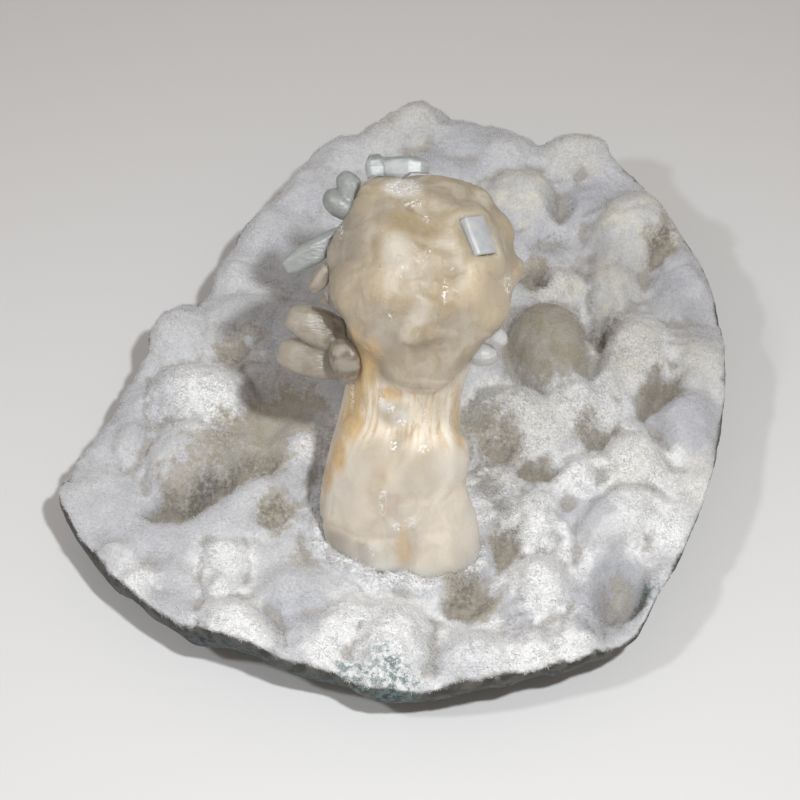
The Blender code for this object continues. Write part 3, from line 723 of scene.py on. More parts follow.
# Colours are linear, and subsurface scales are in metres
crustLook = {
    "felt": (0.64, 0.645, 0.665),
    "feltDim": (0.55, 0.555, 0.585),
    "snow": (0.92, 0.92, 0.92),
    "lilac": (0.52, 0.53, 0.58),
    "cream": (0.74, 0.72, 0.64),
    # brownish grey of the stains and of the painted shadows
    "brown": (0.41, 0.365, 0.285),
    # painted shade of the steep pits
    "dark": (0.22, 0.20, 0.16),
    # painted shade in the hollows and creases
    "creviceShade": (0.36, 0.35, 0.34),
    "dust": (0.58, 0.56, 0.52),
    # painted shade of the deeper hollows
    "deep": (0.42, 0.38, 0.32),
    # painted shade of the band under the rim and of the underside
    "band": (0.05, 0.047, 0.04),
    "bandPale": (0.12, 0.115, 0.10),
    "rind": (0.02, 0.032, 0.036),
    "rindPale": (0.10, 0.12, 0.12),
    "rindBrown": (0.15, 0.14, 0.12),
    "rindMarks": (0.12, 0.13, 0.13),
    "stain": (0.15, 0.23, 0.235),
    "grain": (0.1, 0.1, 0.1),
    "finish": {
        "Roughness": 0.88,
        "Subsurface_Weight": 0.5,
        "Subsurface_Scale": 0.0008,
        "Subsurface_Radius": (1.0, 0.97, 0.92),
    },
}


def chalcedonyColour(kit, felt, snow, look):
    colour = kit.mix(kit.ramp(kit.attribute("snowy"), 0.25, 0.85), felt, snow)
    blotchy = kit.ramp(kit.noise(3.2, 4, 0.6), 0.35, 0.65, 0.35, 1.0)
    colour = kit.mix(kit.share("lilac", blotchy), colour, look["lilac"])
    patchy = kit.ramp(kit.noise(4.5, 4, 0.6), 0.4, 0.6, 0.3, 1.0)
    colour = kit.mix(kit.share("cream", patchy), colour, look["cream"])
    # Painted shade: hollows and creases are darkened towards a grey
    colour = kit.mix(kit.ramp(kit.attribute("hollow"), 0.22, 0.9, 0, 0.55), colour, look["creviceShade"])
    # The brown stains and the painted shadows have tattered edges and an uneven strength
    tattered = kit.math("MULTIPLY", kit.math("SUBTRACT", kit.noise(0.8, 5, 0.75), 0.5), 2.4)
    stainedAndShaded = kit.ramp(kit.math("ADD", kit.attribute("brown"), tattered), 0.15, 1.05)
    uneven = kit.ramp(kit.noise(3.6, 3), 0.38, 0.62, 0.72, 1.0)
    # The brownish grey here is partly stain and partly painted shadow
    colour = kit.mix(kit.math("MULTIPLY", stainedAndShaded, uneven), colour, look["brown"])
    # Painted shade: the steep pits are darkened
    shaded = kit.ramp(kit.math("ADD", kit.attribute("shade"), tattered), 0.3, 1.2)
    return kit.mix(shaded, colour, look["dark"])


def crustMaterial():
    kit = NodeKit("chalcedonyCrust")
    look = crustLook
    broad = kit.noise(11, 3)
    fine = kit.noise(1.1, 4, 0.65)
    speckle = kit.noise(0.35, 2)
    felt = kit.mix(kit.ramp(broad, 0.45, 0.66), look["felt"], look["feltDim"])
    colour = chalcedonyColour(kit, felt, look["snow"], look)
    notSnowy = kit.ramp(kit.attribute("snowy"), 0.3, 0.9, 1, 0)
    dusty = kit.math("MULTIPLY", kit.ramp(fine, 0.5, 0.75, 0, 0.35), notSnowy)
    colour = kit.mix(dusty, colour, look["dust"])
    # Painted shade: the deeper hollows are darkened further, in a fine mottle
    sunken = kit.ramp(kit.attribute("hollow"), 0.3, 0.9, 0, 0.6)
    deep = kit.math("MULTIPLY", sunken, kit.ramp(fine, 0.3, 0.6, 0.5, 1.0))
    colour = kit.mix(deep, colour, look["deep"])
    # The painted shade of the dark band under the rim and of the underside, and the grey-green rind below it
    band = kit.mix(kit.ramp(kit.noise(2.2, 4), 0.4, 0.62), look["band"], look["bandPale"])
    colour = kit.mix(kit.attribute("side"), colour, band)
    rind = kit.mix(kit.ramp(kit.noise(1.2, 5, 0.7), 0.4, 0.6), look["rind"], look["rindPale"])
    rind = kit.mix(kit.ramp(kit.noise(4.5, 3), 0.5, 0.62, 0, 0.7), rind, look["rindBrown"])
    marks = kit.ramp(kit.noise(0.7, 2, 0.5, (1, 1, 0.12)), 0.45, 0.6, 0, 0.5)
    rind = kit.mix(marks, rind, look["rindMarks"])
    colour = kit.mix(kit.attribute("rind"), colour, rind)
    blotch = kit.ramp(kit.noise(0.9, 4, 0.7), 0.47, 0.56)
    colour = kit.mix(kit.share("stain", blotch), colour, look["stain"])
    grainy = kit.ramp(kit.noise(0.5, 3, 0.7), 0.35, 0.65, 0.0, 0.3)
    colour = kit.mix(grainy, colour, kit.mix(0.55, colour, look["grain"]))
    height = kit.math("ADD", kit.math("MULTIPLY", speckle, 0.6), fine)
    kit.set(Base_Color=colour, Normal=kit.bump(height, 0.30, 0.7), **look["finish"])
    return kit.material


# The fuzz: one short spike for each fibre or tuft of fibres, in millimetres
fuzz = {
    "pieces": 5,
    "each": 46000,
    "onBare": 0.5,  # how thickly spikes stand on bare ground, where snow has 1.5
    "sideLoss": 1.1,
    "shadeLoss": 0.8,
    "overhang": (-0.2, 0.2),
    "short": 0.45,
    "long": 0.75,
    "lengthSpread": (0.5, 1.25),
    "radius": 0.045,
    "radiusSpread": (0.7, 1.3),
    "thinnest": 0.8,
    "thicker": 0.5,
    "sink": 0.08,
    "atFoot": 1.1,
    "lean": 0.45,
    "swirl": 1.2,
    "scatter": 0.8,
    "rise": 0.15,
    "swirlSize": 1.6,
    "clump": (0.75, 0.6),
    "clumpSize": 1.7,
    "seed": 5,
}
# Which of the crust's attributes the spikes take over
fuzzTints = ("hollow", "snowy", "brown", "shade", "lilac", "cream", "stain")


def triangleTable(mesh):
    mesh.calc_loop_triangles()
    flat = np.empty(len(mesh.loop_triangles) * 3, dtype=np.int64)
    mesh.loop_triangles.foreach_get("vertices", flat)
    return flat.reshape(-1, 3)


def readAttribute(mesh, name):
    values = np.empty(len(mesh.vertices), dtype=np.float32)
    mesh.attributes[name].data.foreach_get("value", values)
    return values


def spikeMesh(name, roots, ways, lengths, radii, draw):
    count = len(roots)
    helper = draw.normal(size=(count, 3))
    across = np.cross(ways, helper)
    across /= np.linalg.norm(across, axis=1)[:, None]
    other = np.cross(ways, across)
    corners = np.empty((count, 4, 3))
    for k in range(3):
        turn = 2 * math.pi * k / 3
        corners[:, k] = roots + radii[:, None] * (math.cos(turn) * across + math.sin(turn) * other)
    corners[:, 3] = roots + ways * lengths[:, None]
    sides = np.array([[0, 1, 3], [1, 2, 3], [2, 0, 3], [0, 2, 1]])
    faces = (np.arange(count)[:, None, None] * 4 + sides).reshape(-1, 3)
    mesh = bpy.data.meshes.new(name)
    mesh.vertices.add(count * 4)
    mesh.loops.add(len(faces) * 3)
    mesh.polygons.add(len(faces))
    mesh.vertices.foreach_set("co", (corners * mm).ravel())
    mesh.loops.foreach_set("vertex_index", faces.ravel())
    mesh.polygons.foreach_set("loop_start", np.arange(0, len(faces) * 3, 3))
    mesh.update(calc_edges=True)
    return mesh


def buildFuzz(crustPiece):
    mesh = crustPiece.data
    draw = np.random.default_rng(fuzz["seed"])
    points = getPoints(mesh)
    normals = getNormals(mesh)
    corners = triangleTable(mesh)
    snowy = readAttribute(mesh, "snowy")
    side = readAttribute(mesh, "side")
    shade = readAttribute(mesh, "shade")
    a, b, c = (points[corners[:, k]] for k in range(3))
    area = np.linalg.norm(np.cross(b - a, c - a), axis=1) / 2
    weight = area * (fuzz["onBare"] + snowy[corners].mean(1))
    weight *= np.clip(1 - side[corners].mean(1) * fuzz["sideLoss"], 0, 1)
    weight *= step(normals[corners].mean(1)[:, 2], *fuzz["overhang"])
    weight *= 1 - fuzz["shadeLoss"] * shade[corners].mean(1)
    total = fuzz["pieces"] * fuzz["each"]
    chosen = draw.choice(len(corners), total, p=weight / weight.sum())
    u, v = draw.random(total), draw.random(total)
    flip = u + v > 1
    u[flip], v[flip] = 1 - u[flip], 1 - v[flip]
    shares = np.stack([1 - u - v, u, v], axis=1)

    def blend(values):
        picked = values[corners[chosen]]
        if picked.ndim == 3:
            return (picked * shares[:, :, None]).sum(1)
        return (picked * shares).sum(1)

    roots = blend(points)
    ways = blend(normals)
    fuzzy = blend(snowy)
    tints = {name: blend(readAttribute(mesh, name)) for name in fuzzTints}
    swirl = np.stack([cloud(roots, fuzz["swirlSize"], 11 + k) for k in range(3)], axis=1)
    ways += fuzz["lean"] * (fuzz["swirl"] * swirl + fuzz["scatter"] * draw.normal(size=(total, 3)))
    ways[:, 2] += fuzz["rise"]
    ways /= np.linalg.norm(ways, axis=1)[:, None]
    usual, spread = fuzz["clump"]
    clump = usual + spread * cloud(roots, fuzz["clumpSize"], seed=21)
    lengths = fuzz["short"] + (fuzz["long"] - fuzz["short"]) * fuzzy
    lengths = lengths * clump * draw.uniform(*fuzz["lengthSpread"], total)
    radii = fuzz["radius"] * draw.uniform(*fuzz["radiusSpread"], total)
    radii *= fuzz["thinnest"] + fuzz["thicker"] * fuzzy
    roots = roots - ways * fuzz["sink"]
    lip = blend(readAttribute(mesh, "lip"))
    lengths = lengths + fuzz["sink"] + fuzz["atFoot"] * lip * draw.random(total)

    order = np.argsort(roots[:, 0], kind="stable")
    material = fuzzMaterial()
    for k in range(fuzz["pieces"]):
        mine = order[k * fuzz["each"]: (k + 1) * fuzz["each"]]
        name = f"fuzz{k + 1}"
        made = spikeMesh(name, roots[mine], ways[mine], lengths[mine], radii[mine], draw)
        piece = bpy.data.objects.new(name, made)
        bpy.context.scene.collection.objects.link(piece)
        for tint, values in tints.items():
            setAttribute(made, tint, np.repeat(values[mine], 4))
        finishPiece(piece, [], material)


fuzzLook = {
    "felt": (0.85, 0.86, 0.89),
    "feltDim": (0.73, 0.73, 0.74),
    "snow": (0.98, 0.98, 0.98),
    "snowDim": (0.92, 0.91, 0.90),
    "lilac": (0.76, 0.77, 0.82),
    "cream": (0.90, 0.88, 0.80),
    # brownish grey of the stains and of the painted shadows
    "brown": (0.52, 0.47, 0.37),
    # painted shade of the steep pits
    "dark": (0.34, 0.31, 0.25),
    # painted shade in the hollows and creases
    "creviceShade": (0.54, 0.53, 0.54),
    "stain": (0.27, 0.40, 0.41),
    "finish": {
        "Roughness": 0.75,
        "Sheen_Weight": 0.6,
        "Sheen_Roughness": 0.6,
        "Subsurface_Weight": 0.6,
        "Subsurface_Scale": 0.0006,
        "Subsurface_Radius": (1.0, 0.97, 0.92),
    },
}


def fuzzMaterial():
    kit = NodeKit("chalcedonyFuzz")
    look = fuzzLook
    patchy = kit.ramp(kit.noise(1.4, 3), 0.42, 0.68, 0, 0.5)
    felt = kit.mix(patchy, look["felt"], look["feltDim"])
    snow = kit.mix(patchy, look["snow"], look["snowDim"])
    colour = chalcedonyColour(kit, felt, snow, look)
    blotch = kit.ramp(kit.noise(0.9, 4, 0.7), 0.47, 0.56, 0, 0.85)
    colour = kit.mix(kit.share("stain", blotch), colour, look["stain"])
    kit.set(Base_Color=colour, **look["finish"])
    return kit.material


# The faces and lumps of the crystals that can be told apart, as the camera sees them. Each is an oval in the
# picture's 800 points: x, y, half width, half height, turn, how far it stands out in millimetres, softness.
headForms = (
    (404, 186, 21, 9, 5, 0.34, 0.7),
    (441, 191, 28, 9, 8, 0.3, 0.7),
    (420, 219, 32, 13, 0, -0.68, 1),
    (454, 238, 13, 17, -12, -0.34, 1),
    (398, 251, 19, 24, 12, 0.56, 0.9),
    (362, 291, 29, 36, 12, 0.45, 0.7),
    (431, 262, 17, 14, 0, 0.26, 0.8),
    (418, 311, 12, 15, 15, 0.2, 0.8),
    (391, 332, 29, 16, -12, 0.34, 0.7),
    (408, 366, 28, 28, 0, 0.45, 0.7),
    (449, 354, 26, 38, 24, 0.3, 0.7),
    (488, 290, 30, 38, 8, 0.49, 0.7),
    (354, 224, 22, 29, -22, 0.3, 0.7),
    (491, 206, 19, 16, 32, 0.3, 0.7),
    (504, 247, 15, 27, -16, 0.34, 0.7),
    (338, 264, 12, 20, 0, 0.22, 0.7),
)
headLines = (
    (3.0, 0.34, ((453, 263), (458, 292), (452, 322), (443, 350), (436, 372))),
    (2.4, 0.29, ((394, 274), (402, 298), (398, 320), (388, 350))),
    (2.6, 0.34, ((378, 214), (399, 205), (421, 203), (444, 208), (455, 218))),
    (2.6, 0.38, ((425, 338), (425, 368), (418, 392))),
    (2.0, 0.24, ((438, 270), (440, 292), (434, 312))),
    (2.2, 0.29, ((505, 270), (508, 292), (502, 316), (492, 338))),
    (2.6, 0.34, ((345, 190), (372, 205), (377, 232), (366, 255), (336, 262))),
    (2.2, 0.29, ((470, 190), (486, 216), (500, 236), (514, 262))),
    (2.6, 0.34, ((336, 312), (350, 336), (368, 346), (384, 362))),
)
footForms = (
    (360, 487, 35, 58, 32, 0.66, 0.8),
    (428, 468, 34, 33, 0, 0.47, 0.8),
    (454, 465, 13, 19, 0, 0.39, 0.8),
    (452, 535, 33, 48, -14, 0.47, 0.8),
    (374, 551, 20, 17, 0, -0.27, 0.8),
    (373, 552, 8, 13, 8, 0.27, 0.8),
    (396, 549, 9, 15, 0, 0.23, 0.8),
    (338, 541, 16, 16, 20, -0.31, 0.8),
    (396, 413, 27, 11, 42, 0.35, 0.9),
    (426, 412, 13, 22, 0, 0.23, 0.8),
)
footLines = (
    (2.2, 0.53, ((320, 520), (338, 530), (354, 537), (376, 538), (394, 536))),
    (2.4, 0.43, ((394, 436), (394, 452), (385, 470), (380, 492), (387, 514), (399, 528))),
    (2.0, 0.38, ((399, 528), (412, 532), (416, 548), (410, 572))),
    (1.8, 0.34, ((355, 538), (357, 554), (362, 566))),
    (1.8, 0.29, ((386, 538), (388, 556), (386, 568))),
    (2.4, 0.48, ((450, 447), (454, 452), (456, 484), (446, 500))),
    (2.2, 0.34, ((408, 438), (410, 446), (404, 460), (394, 470))),
    (2.2, 0.34, ((386, 388), (398, 400), (414, 410), (420, 430))),
)
# Where the underside of the head runs softly into the stalk
meltPlaces = (
    (424, 393, 60, 26, 1.0),
)
# Where the foot and the leaf on the neck are smooth. These and the tints are ovals with a strength and no turn.
smoothPlaces = (
    (366, 486, 38, 50, 1.0),
    (384, 462, 34, 28, 1.0),
    (430, 478, 34, 36, 1.0),
    (440, 545, 46, 48, 1.0),
    (394, 413, 18, 14, 0.8),
)
tanPlaces = (
    (412, 222, 38, 16, 0.8),
    (466, 236, 15, 22, 0.5),
    (443, 286, 14, 38, 0.6),
    (372, 262, 16, 20, 0.3),
    (404, 545, 17, 19, 0.3),
    (378, 484, 12, 20, 0.4),
    (430, 404, 16, 16, 0.4),
    (402, 440, 10, 12, 0.4),
)
amberPlaces = (
    (366, 362, 15, 26, 1.0),
    (352, 336, 10, 14, 0.7),
    (357, 392, 12, 30, 1.0),
    (351, 422, 13, 24, 1.0),
    (340, 450, 10, 24, 1.0),
    (331, 476, 8, 20, 0.9),
    (458, 415, 7, 36, 0.8),
    (392, 393, 14, 9, 0.9),
    (403, 547, 8, 20, 0.5),
)
# Grey tint. The first oval, on the head's upper left face, is partly the painted shade of that face
greyPlaces = (
    (346, 238, 24, 36, 0.9),
    (334, 548, 16, 17, 0.8),
    (354, 558, 24, 15, 0.6),
    (384, 215, 12, 14, 0.4),
    (420, 480, 16, 18, 0.3),
)
palePlaces = (
    (404, 187, 22, 10, 1.0),
    (396, 251, 17, 22, 0.6),
    (390, 332, 24, 18, 0.4),
    (386, 400, 9, 13, 1.0),
    (400, 418, 11, 12, 1.0),
    (352, 486, 26, 36, 0.4),
    (370, 553, 16, 13, 0.5),
    (470, 545, 12, 38, 0.5),
    (418, 311, 11, 14, 0.4),
    (448, 462, 18, 20, 0.6),
)
creamTintPlaces = (
    (490, 292, 30, 42, 1.0),
    (360, 300, 24, 30, 0.5),
    (438, 372, 24, 20, 0.4),
    (408, 366, 20, 20, 0.4),
    (362, 500, 30, 30, 0.4),
)
columnTints = {
    "tan": tanPlaces,
    "amber": amberPlaces,
    "grey": greyPlaces,
    "pale": palePlaces,
    "cream": creamTintPlaces,
}
# Glossy patches, which are also painted the near white of a highlight
glossAndHighlightPlaces = (
    (404, 187, 19, 8, 1.0),
    (412, 203, 12, 4, 0.7),
    (381, 396, 3, 9, 0.9),
    (391, 408, 4, 5, 0.9),
    (402, 422, 5, 4, 1.0),
    (394, 444, 3, 9, 1.0),
    (383, 502, 4, 16, 1.0),
    (397, 527, 6, 4, 1.0),
    (372, 552, 3, 7, 1.0),
    (424, 449, 7, 4, 1.0),
    (410, 523, 7, 6, 0.7),
    (508, 284, 4, 11, 1.0),
    (445, 292, 3, 12, 0.8),
    (428, 253, 2.5, 5, 0.8),
    (426, 219, 3, 4, 0.8),
    (341, 231, 3, 9, 0.8),
    (335, 215, 5, 5, 0.8),
    (391, 314, 3, 6, 0.8),
    (352, 395, 3, 16, 0.8),
    (425, 420, 3, 12, 0.7),
    (328, 300, 5, 8, 0.6),
)


def columnMatrix():
    lean = Matrix.Rotation(math.radians(-column["leanBack"]), 3, "X")
    return np.array(lean @ Matrix.Rotation(math.radians(column["leanRight"]), 3, "Y"))


def toColumn(points):
    return (points - np.array(column["foot"])) @ columnMatrix()


def towardCamera():
    tilt = math.radians(cameraView["elevation"])
    return np.array((0, -math.cos(tilt), math.sin(tilt)))


def onPicture(points):
    away = towardCamera()
    up = np.array((0, away[2], -away[1]))
    offset = points - np.array(cameraView["target"]) - away * cameraView["distance"]
    depth = -offset @ away
    scale = cameraView["lens"] / cameraView["sensor"] * cameraView["points"] / depth
    middle = cameraView["points"] / 2
    return np.stack([middle + offset[:, 0] * scale, middle - offset @ up * scale], axis=1)


def formLift(spot, forms, lines):
    lift = np.zeros(len(spot))
    for x, y, wide, high, turn, stand, soft in forms:
        reach = ovalReach(spot, x, y, wide, high, turn)
        lift += stand * step(-reach, -1 - soft / 2, -1 + soft / 2)
    for width, deep, line in lines:
        gap = lineDistance(spot, line) / (width * column["lineWidth"])
        lift -= deep * column["lineDepth"] * np.exp(-gap * gap)
    return lift


def tintAt(spot, places):
    total = np.zeros(len(spot))
    for x, y, wide, high, strength in places:
        total = np.maximum(total, strength * step(-ovalReach(spot, x, y, wide, high), -1.3, -0.45))
    return total


def facetLift(points):
    # Flat patches that meet at low steps, as the ends of intergrown blades do
    size = column["facetSize"]
    lift = np.empty(len(points))
    for k, spot in enumerate((points / size).tolist()):
        spot = Vector(spot)
        centre = noise.voronoi(spot)[1][0]
        lift[k] = noise.cell_vector(centre * column["facetTurn"]).dot(spot - centre)
    return lift * size * column["facet"]


def tabletLip(points, normals):
    # The head stands a little higher round the tablet, which is let into it
    tree = nodeTree("pearly_tablet")
    middle = getPoints(nodes["pearly_tablet"].data).mean(0)
    lift = np.zeros(len(points))
    for k in np.flatnonzero(np.linalg.norm(points - middle, axis=1) < column["tabletReach"]):
        here, way = Vector(points[k]) * mm, Vector(normals[k])
        far = tree.find_nearest(here)[3] / mm
        if tree.ray_cast(here - way * mm, way)[0] is None:
            lift[k] = column["tabletLip"] * float(step(-far, *column["tabletSlope"]))
    return lift


def remeshed(nodeName, pieceName, voxel):
    piece = mergedCopy(nodeName, pieceName)
    remesh = piece.modifiers.new("remesh", "REMESH")
    remesh.mode = "VOXEL"
    remesh.voxel_size = voxel * mm
    applyModifiers(piece)
    return piece


def buildColumn():
    piece = remeshed("stilbite_column", "stilbiteColumn", column["voxel"])
    mesh = piece.data
    edges = getEdges(mesh)
    points = neighbourMean(getPoints(mesh), edges, column["stalkSmoothing"])
    height = toColumn(points)[:, 2]
    low, lowFull, highFull, high = column["stalk"]
    onStalk = step(height, low, lowFull) * step(-height, -high, -highFull)
    soft = neighbourMean(points, edges, column["smoothing"])
    points += (soft - points) * (1 - column["stalkKept"] * onStalk)[:, None]
    melted = tintAt(onPicture(points), meltPlaces)
    points += (neighbourMean(soft, edges, column["melting"]) - points) * melted[:, None]
    setPoints(mesh, points)
    points += getNormals(mesh) * (column["swell"] * (1 - onStalk))[:, None]
    setPoints(mesh, points)

    normals = getNormals(mesh)
    local = toColumn(points)
    height = local[:, 2]
    spot = onPicture(points)
    spot += column["wander"] * sidewaysPush(points, column["wanderSize"], 41)[:, :2]
    facing = step(normals @ towardCamera(), *column["facing"])
    onHead = step(height, *column["head"])
    lift = column["headRelief"] * onHead * formLift(spot, headForms, headLines)
    lift += (1 - onHead) * formLift(spot, footForms, footLines)
    lift *= facing
    angle = np.arctan2(local[:, 1], local[:, 0])
    across = np.stack([np.cos(angle), np.sin(angle)]) * column["fluteRound"]
    around = np.stack([*across, height * column["fluteAlong"]], axis=1)
    flutes = cloud(around, column["fluteWidth"], seed=1, octaves=2)
    toLeft, upward = column["wing"]
    leftWing = step(-local[:, 0], *toLeft) * step(height, *upward) * (1 - onHead)
    lobes = tintAt(spot, smoothPlaces) * facing
    striped = np.clip(onStalk + column["wingStripes"] * leftWing, 0, 1) * (1 - lobes)
    fluted = column["fluteElsewhere"] + (1 - column["fluteElsewhere"]) * striped
    ripple = cloud(points, column["rippleSize"], seed=2, octaves=2)
    grain = cloud(points, column["grainSize"], seed=3, octaves=2)
    lift += column["flute"] * flutes * fluted + column["grain"] * grain
    lift += column["ripple"] * ripple * (1 - column["rippleLoss"] * onStalk) + tabletLip(points, normals)
    faceted = column["facetElsewhere"] + (1 - column["facetElsewhere"]) * onHead
    lift += facetLift(points) * faceted * (1 - striped)
    points = points + normals * lift[:, None]
    setPoints(mesh, neighbourMean(points, edges, 1))

    points, normals = getPoints(mesh), getNormals(mesh)
    hollow = ((neighbourMean(points, edges, column["hollowBlur"]) - points) * normals).sum(1)
    attributes = {
        "hollow": np.clip(hollow * column["hollowGain"], -1, 1),
        "stalk": striped,
        "flutes": striped * np.clip(-flutes * column["fluteTint"], 0, 1),
        "low": step(-height, *column["lowPart"]),
        "glossAndHighlight": tintAt(onPicture(points), glossAndHighlightPlaces) * facing,
    }
    for name, places in columnTints.items():
        attributes[name] = tintAt(spot, places) * facing
    for name, values in attributes.items():
        setAttribute(mesh, name, values)
    finishPiece(piece, ["stilbite_column"], stilbiteMaterial())


stilbiteLook = {
    "honey": (0.43, 0.37, 0.275),
    "honeyDim": (0.37, 0.31, 0.22),
    "foot": (0.80, 0.73, 0.63),
    "clouds": (0.60, 0.555, 0.48),
    "stalk": (0.96, 0.89, 0.76),
    "cream": (0.58, 0.495, 0.365),
    "grey": (0.36, 0.325, 0.28),
    "pale": (0.74, 0.72, 0.69),
    "tan": (0.40, 0.31, 0.18),
    "tanDim": (0.34, 0.27, 0.17),
    "amber": (0.70, 0.49, 0.24),
    "amberDim": (0.58, 0.42, 0.23),
    "veins": (0.38, 0.30, 0.20),
    "flutes": (0.62, 0.45, 0.25),
    # painted shade in the column's hollows
    "deep": (0.50, 0.34, 0.18),
    # painted highlight
    "glossAndHighlight": (0.97, 0.97, 0.96),
    "finish": {
        "Specular_IOR_Level": 0.5,
        "Subsurface_Weight": 0.95,
        "Subsurface_Scale": 0.007,
        "Subsurface_Radius": (1.0, 0.78, 0.56),
    },
}


def stilbiteMaterial():
    kit = NodeKit("waxyStilbite")
    look = stilbiteLook
    broad = kit.noise(7, 3)
    middle = kit.noise(2.4, 4)
    fine = kit.noise(0.45, 3, 0.6)
    wisps = kit.noise(1.6, 5, 0.65, (1, 1, 0.4), 1.2)
    clouds = kit.noise(4.2, 5, 0.6, (1, 1, 0.7), 0.8)
    uneven = kit.noise(3.0, 4, 0.6)
    wispy = kit.ramp(wisps, 0.4, 0.65)
    colour = kit.mix(kit.ramp(broad, 0.38, 0.64), look["honey"], look["honeyDim"])
    colour = kit.mix(kit.attribute("low"), colour, look["foot"])
    colour = kit.mix(kit.ramp(clouds, 0.42, 0.64, 0, 0.5), colour, look["clouds"])
    for name, strength in (("stalk", 0.85), ("cream", 0.8), ("grey", 0.8), ("pale", 0.6)):
        colour = kit.mix(kit.share(name, strength), colour, look[name])
    cloudy = kit.ramp(uneven, 0.3, 0.62, 0.45, 1.0)
    colour = kit.mix(kit.share("tan", cloudy), colour, kit.mix(wispy, look["tan"], look["tanDim"]))
    firm = kit.ramp(uneven, 0.3, 0.62, 0.75, 1.0)
    colour = kit.mix(kit.share("amber", firm), colour, kit.mix(wispy, look["amber"], look["amberDim"]))
    aboveFoot = kit.ramp(kit.attribute("low"), 0.0, 0.6, 1, 0)
    veins = kit.math("MULTIPLY", kit.ramp(wisps, 0.50, 0.72, 0, 0.45), aboveFoot)
    colour = kit.mix(veins, colour, look["veins"])
    colour = kit.mix(kit.share("flutes", 0.6), colour, look["flutes"])
    # Painted shade: the hollows of the column are darkened towards a deep orange tan
    deep = kit.ramp(kit.attribute("hollow"), 0.15, 0.9, 0, 0.25)
    colour = kit.mix(deep, colour, look["deep"])
    # Painted highlight: the glossy patches are painted near white
    glossAndHighlight = kit.share("glossAndHighlight", kit.ramp(fine, 0.52, 0.57))
    colour = kit.mix(glossAndHighlight, colour, look["glossAndHighlight"])
    # Small glints and the highlight-painted patches are glossier than the rest
    glints = kit.ramp(kit.noise(0.4, 1), 0.66, 0.70, 0, 0.3)
    matt = kit.ramp(middle, 0.4, 0.7, 0.46, 0.6)
    gloss = kit.math("SUBTRACT", kit.math("SUBTRACT", matt, glints), kit.math("MULTIPLY", glossAndHighlight, 0.25))
    soft = kit.bump(middle, 0.12, 0.5)
    sharp = kit.math("MULTIPLY", fine, kit.math("ADD", kit.share("glossAndHighlight", 0.4), 0.18))
    kit.set(Base_Color=colour, Roughness=gloss, Normal=kit.bump(sharp, 0.35, 1.0, soft), **look["finish"])
    return kit.material


# The small crystals: node, voxel, smoothing, swell in millimetres and material
smallCrystals = {
    "sideSheaf": ("side_sheaf", 0.14, 120, 0.25, "milky"),
    "leftBladeUpper": ("left_blade_upper", 0.1, 14, 0.08, "cool"),
    "leftBladeMiddle": ("left_blade_middle", 0.1, 14, 0.08, "milky"),
    "leftBladeLower": ("left_blade_lower", 0.09, 10, 0.05, "milky"),
    "leftBuds": ("left_buds", 0.1, 70, 0.2, "cool"),
    "clearPlate": ("clear_plate", 0.09, 1, 0.0, "clear"),
    "clearGrainLarge": ("clear_grain_large", 0.09, 4, 0.0, "cloudy"),
    "clearGrainSmall": ("clear_grain_small", 0.08, 4, 0.0, "cloudy"),
}
crystalLooks = {
    "milky": {
        "slot": "pale_stilbite",
        "light": (0.52, 0.47, 0.40),
        "dark": (0.30, 0.245, 0.185),
        "finish": {"Roughness": 0.34, "Transmission_Weight": 0.38, "Subsurface_Weight": 0.9},
    },
    "cool": {
        "slot": "pale_stilbite",
        "light": (0.48, 0.50, 0.49),
        "dark": (0.37, 0.39, 0.38),
        "finish": {"Roughness": 0.32, "Transmission_Weight": 0.45, "Subsurface_Weight": 0.8},
    },
    "cloudy": {
        "slot": "clear_crystal",
        "light": (0.90, 0.90, 0.89),
        "dark": (0.80, 0.80, 0.78),
        "finish": {"Roughness": 0.25, "Transmission_Weight": 0.40, "Subsurface_Weight": 0.8},
    },
    "clear": {
        "slot": "clear_crystal",
        "light": (0.82, 0.85, 0.85),
        "dark": (0.62, 0.66, 0.65),
        "finish": {"Roughness": 0.30, "Transmission_Weight": 0.75, "Subsurface_Weight": 0.6},
    },
}
everyCrystal = {"IOR": 1.5, "Subsurface_Scale": 0.003, "Subsurface_Radius": (1.0, 0.93, 0.86)}
paleTips = (-0.019, -0.009)  # metres in x: left of this the crystals are paler
tabletRounding = 0.12
pearlLook = {
    "blue": (0.44, 0.46, 0.485),
    "white": (0.51, 0.515, 0.51),
    "finish": {
        "Roughness": 0.3,
        "Subsurface_Weight": 0.5,
        "Subsurface_Scale": 0.0015,
        "Subsurface_Radius": (1.0, 0.97, 0.94),
    },
}


def crystalMaterial(name, look):
    kit = NodeKit(name + "Crystal")
    parts = kit.add("ShaderNodeSeparateXYZ")
    kit.plug(kit.place, parts.inputs[0])
    dark = kit.mix(kit.ramp(parts.outputs["X"], *paleTips), look["light"], look["dark"])
    colour = kit.mix(kit.ramp(kit.noise(1.8, 4), 0.4, 0.65), look["light"], dark)
    striae = kit.noise(0.4, 3, 0.6, (0.2, 1, 1))
    kit.set(Base_Color=colour, Normal=kit.bump(striae, 0.16, 0.8), **look["finish"], **everyCrystal)
    return kit.material


def pearlMaterial():
    kit = NodeKit("pearlyTablet")
    colour = kit.mix(kit.ramp(kit.noise(1.4, 4), 0.35, 0.65), pearlLook["blue"], pearlLook["white"])
    kit.set(Base_Color=colour, Normal=kit.bump(kit.noise(0.5, 3), 0.05, 0.5), **pearlLook["finish"])
    return kit.material


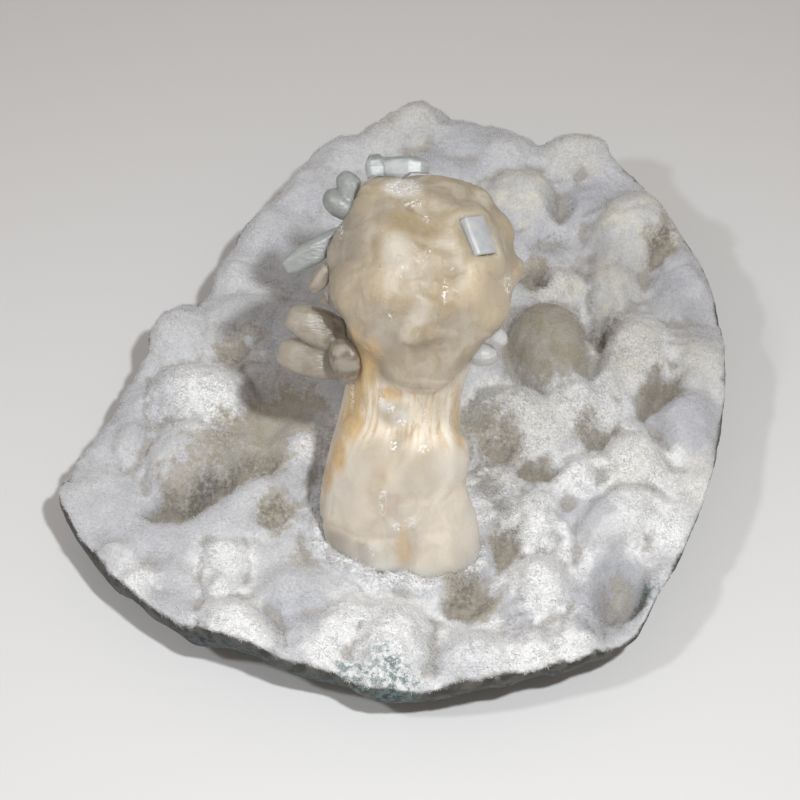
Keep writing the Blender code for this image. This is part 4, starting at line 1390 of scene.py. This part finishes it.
def buildSmallCrystals():
    materials = {name: crystalMaterial(name, look) for name, look in crystalLooks.items()}
    for name, (nodeName, voxel, smoothing, swell, look) in smallCrystals.items():
        piece = remeshed(nodeName, name, voxel)
        mesh = piece.data
        setPoints(mesh, neighbourMean(getPoints(mesh), getEdges(mesh), smoothing))
        setPoints(mesh, getPoints(mesh) + getNormals(mesh) * swell)
        finishPiece(piece, [nodeName], materials[look])
    tablet = mergedCopy("pearly_tablet", "pearlyTablet")
    rounding = tablet.modifiers.new("rounding", "BEVEL")
    rounding.width = tabletRounding * mm
    rounding.segments = 2
    rounding.limit_method = "ANGLE"
    applyModifiers(tablet)
    finishPiece(tablet, ["pearly_tablet"], pearlMaterial())


# Light and floor
lamps = {
    "lampFront": {
        "from": (23, 58),  # degrees to the right and up
        "distance": 0.30,  # metres
        "size": 0.016,
        "power": 0.73,
        "colour": (0.97, 0.99, 1.0),
    },
    "lampLeft": {
        "from": (-52, 50),
        "distance": 0.30,
        "size": 0.025,
        "power": 0.26,
        "colour": (0.96, 0.98, 1.0),
    },
}
lampsAim = (0.0, -24.0, 52.0)  # mm
fillLight = {"colour": (1.0, 0.88, 0.79, 1.0), "strength": 0.255}
floorPlan = {"size": 3, "drop": 0.0001, "colour": (0.8, 0.8, 0.8, 1), "roughness": 0.9}  # metres


def makeLights():
    for name, lamp in lamps.items():
        turn, rise = (math.radians(v) for v in lamp["from"])
        way = Vector((math.sin(turn) * math.cos(rise), -math.cos(turn) * math.cos(rise), math.sin(rise)))
        data = bpy.data.lights.new(name, "AREA")
        data.shape = "DISK"
        data.size = lamp["size"]
        data.energy = lamp["power"]
        data.color = lamp["colour"]
        obj = bpy.data.objects.new(name, data)
        obj.location = Vector(lampsAim) * mm + way * lamp["distance"]
        obj.rotation_euler = (-way).to_track_quat("-Z", "Y").to_euler()
        bpy.context.scene.collection.objects.link(obj)
    world = bpy.data.worlds.new("studio")
    world.use_nodes = True
    background = world.node_tree.nodes["Background"]
    background.inputs[0].default_value = fillLight["colour"]
    background.inputs[1].default_value = fillLight["strength"]
    bpy.context.scene.world = world
    bpy.context.scene.view_settings.view_transform = "Standard"


def makeFloor():
    bm = bmesh.new()
    bmesh.ops.create_grid(bm, x_segments=1, y_segments=1, size=floorPlan["size"])
    bmesh.ops.translate(bm, vec=(0, 0, -floorPlan["drop"]), verts=bm.verts)
    mesh = bpy.data.meshes.new("floor")
    bm.to_mesh(mesh)
    bm.free()
    floor = bpy.data.objects.new("floor", mesh)
    bpy.context.scene.collection.objects.link(floor)
    kit = NodeKit("paleFloor")
    kit.set(Base_Color=floorPlan["colour"], Roughness=floorPlan["roughness"])
    mesh.materials.append(kit.material)


crustPiece = buildCrust()
buildFuzz(crustPiece)
buildColumn()
buildSmallCrystals()
makeLights()
makeFloor()
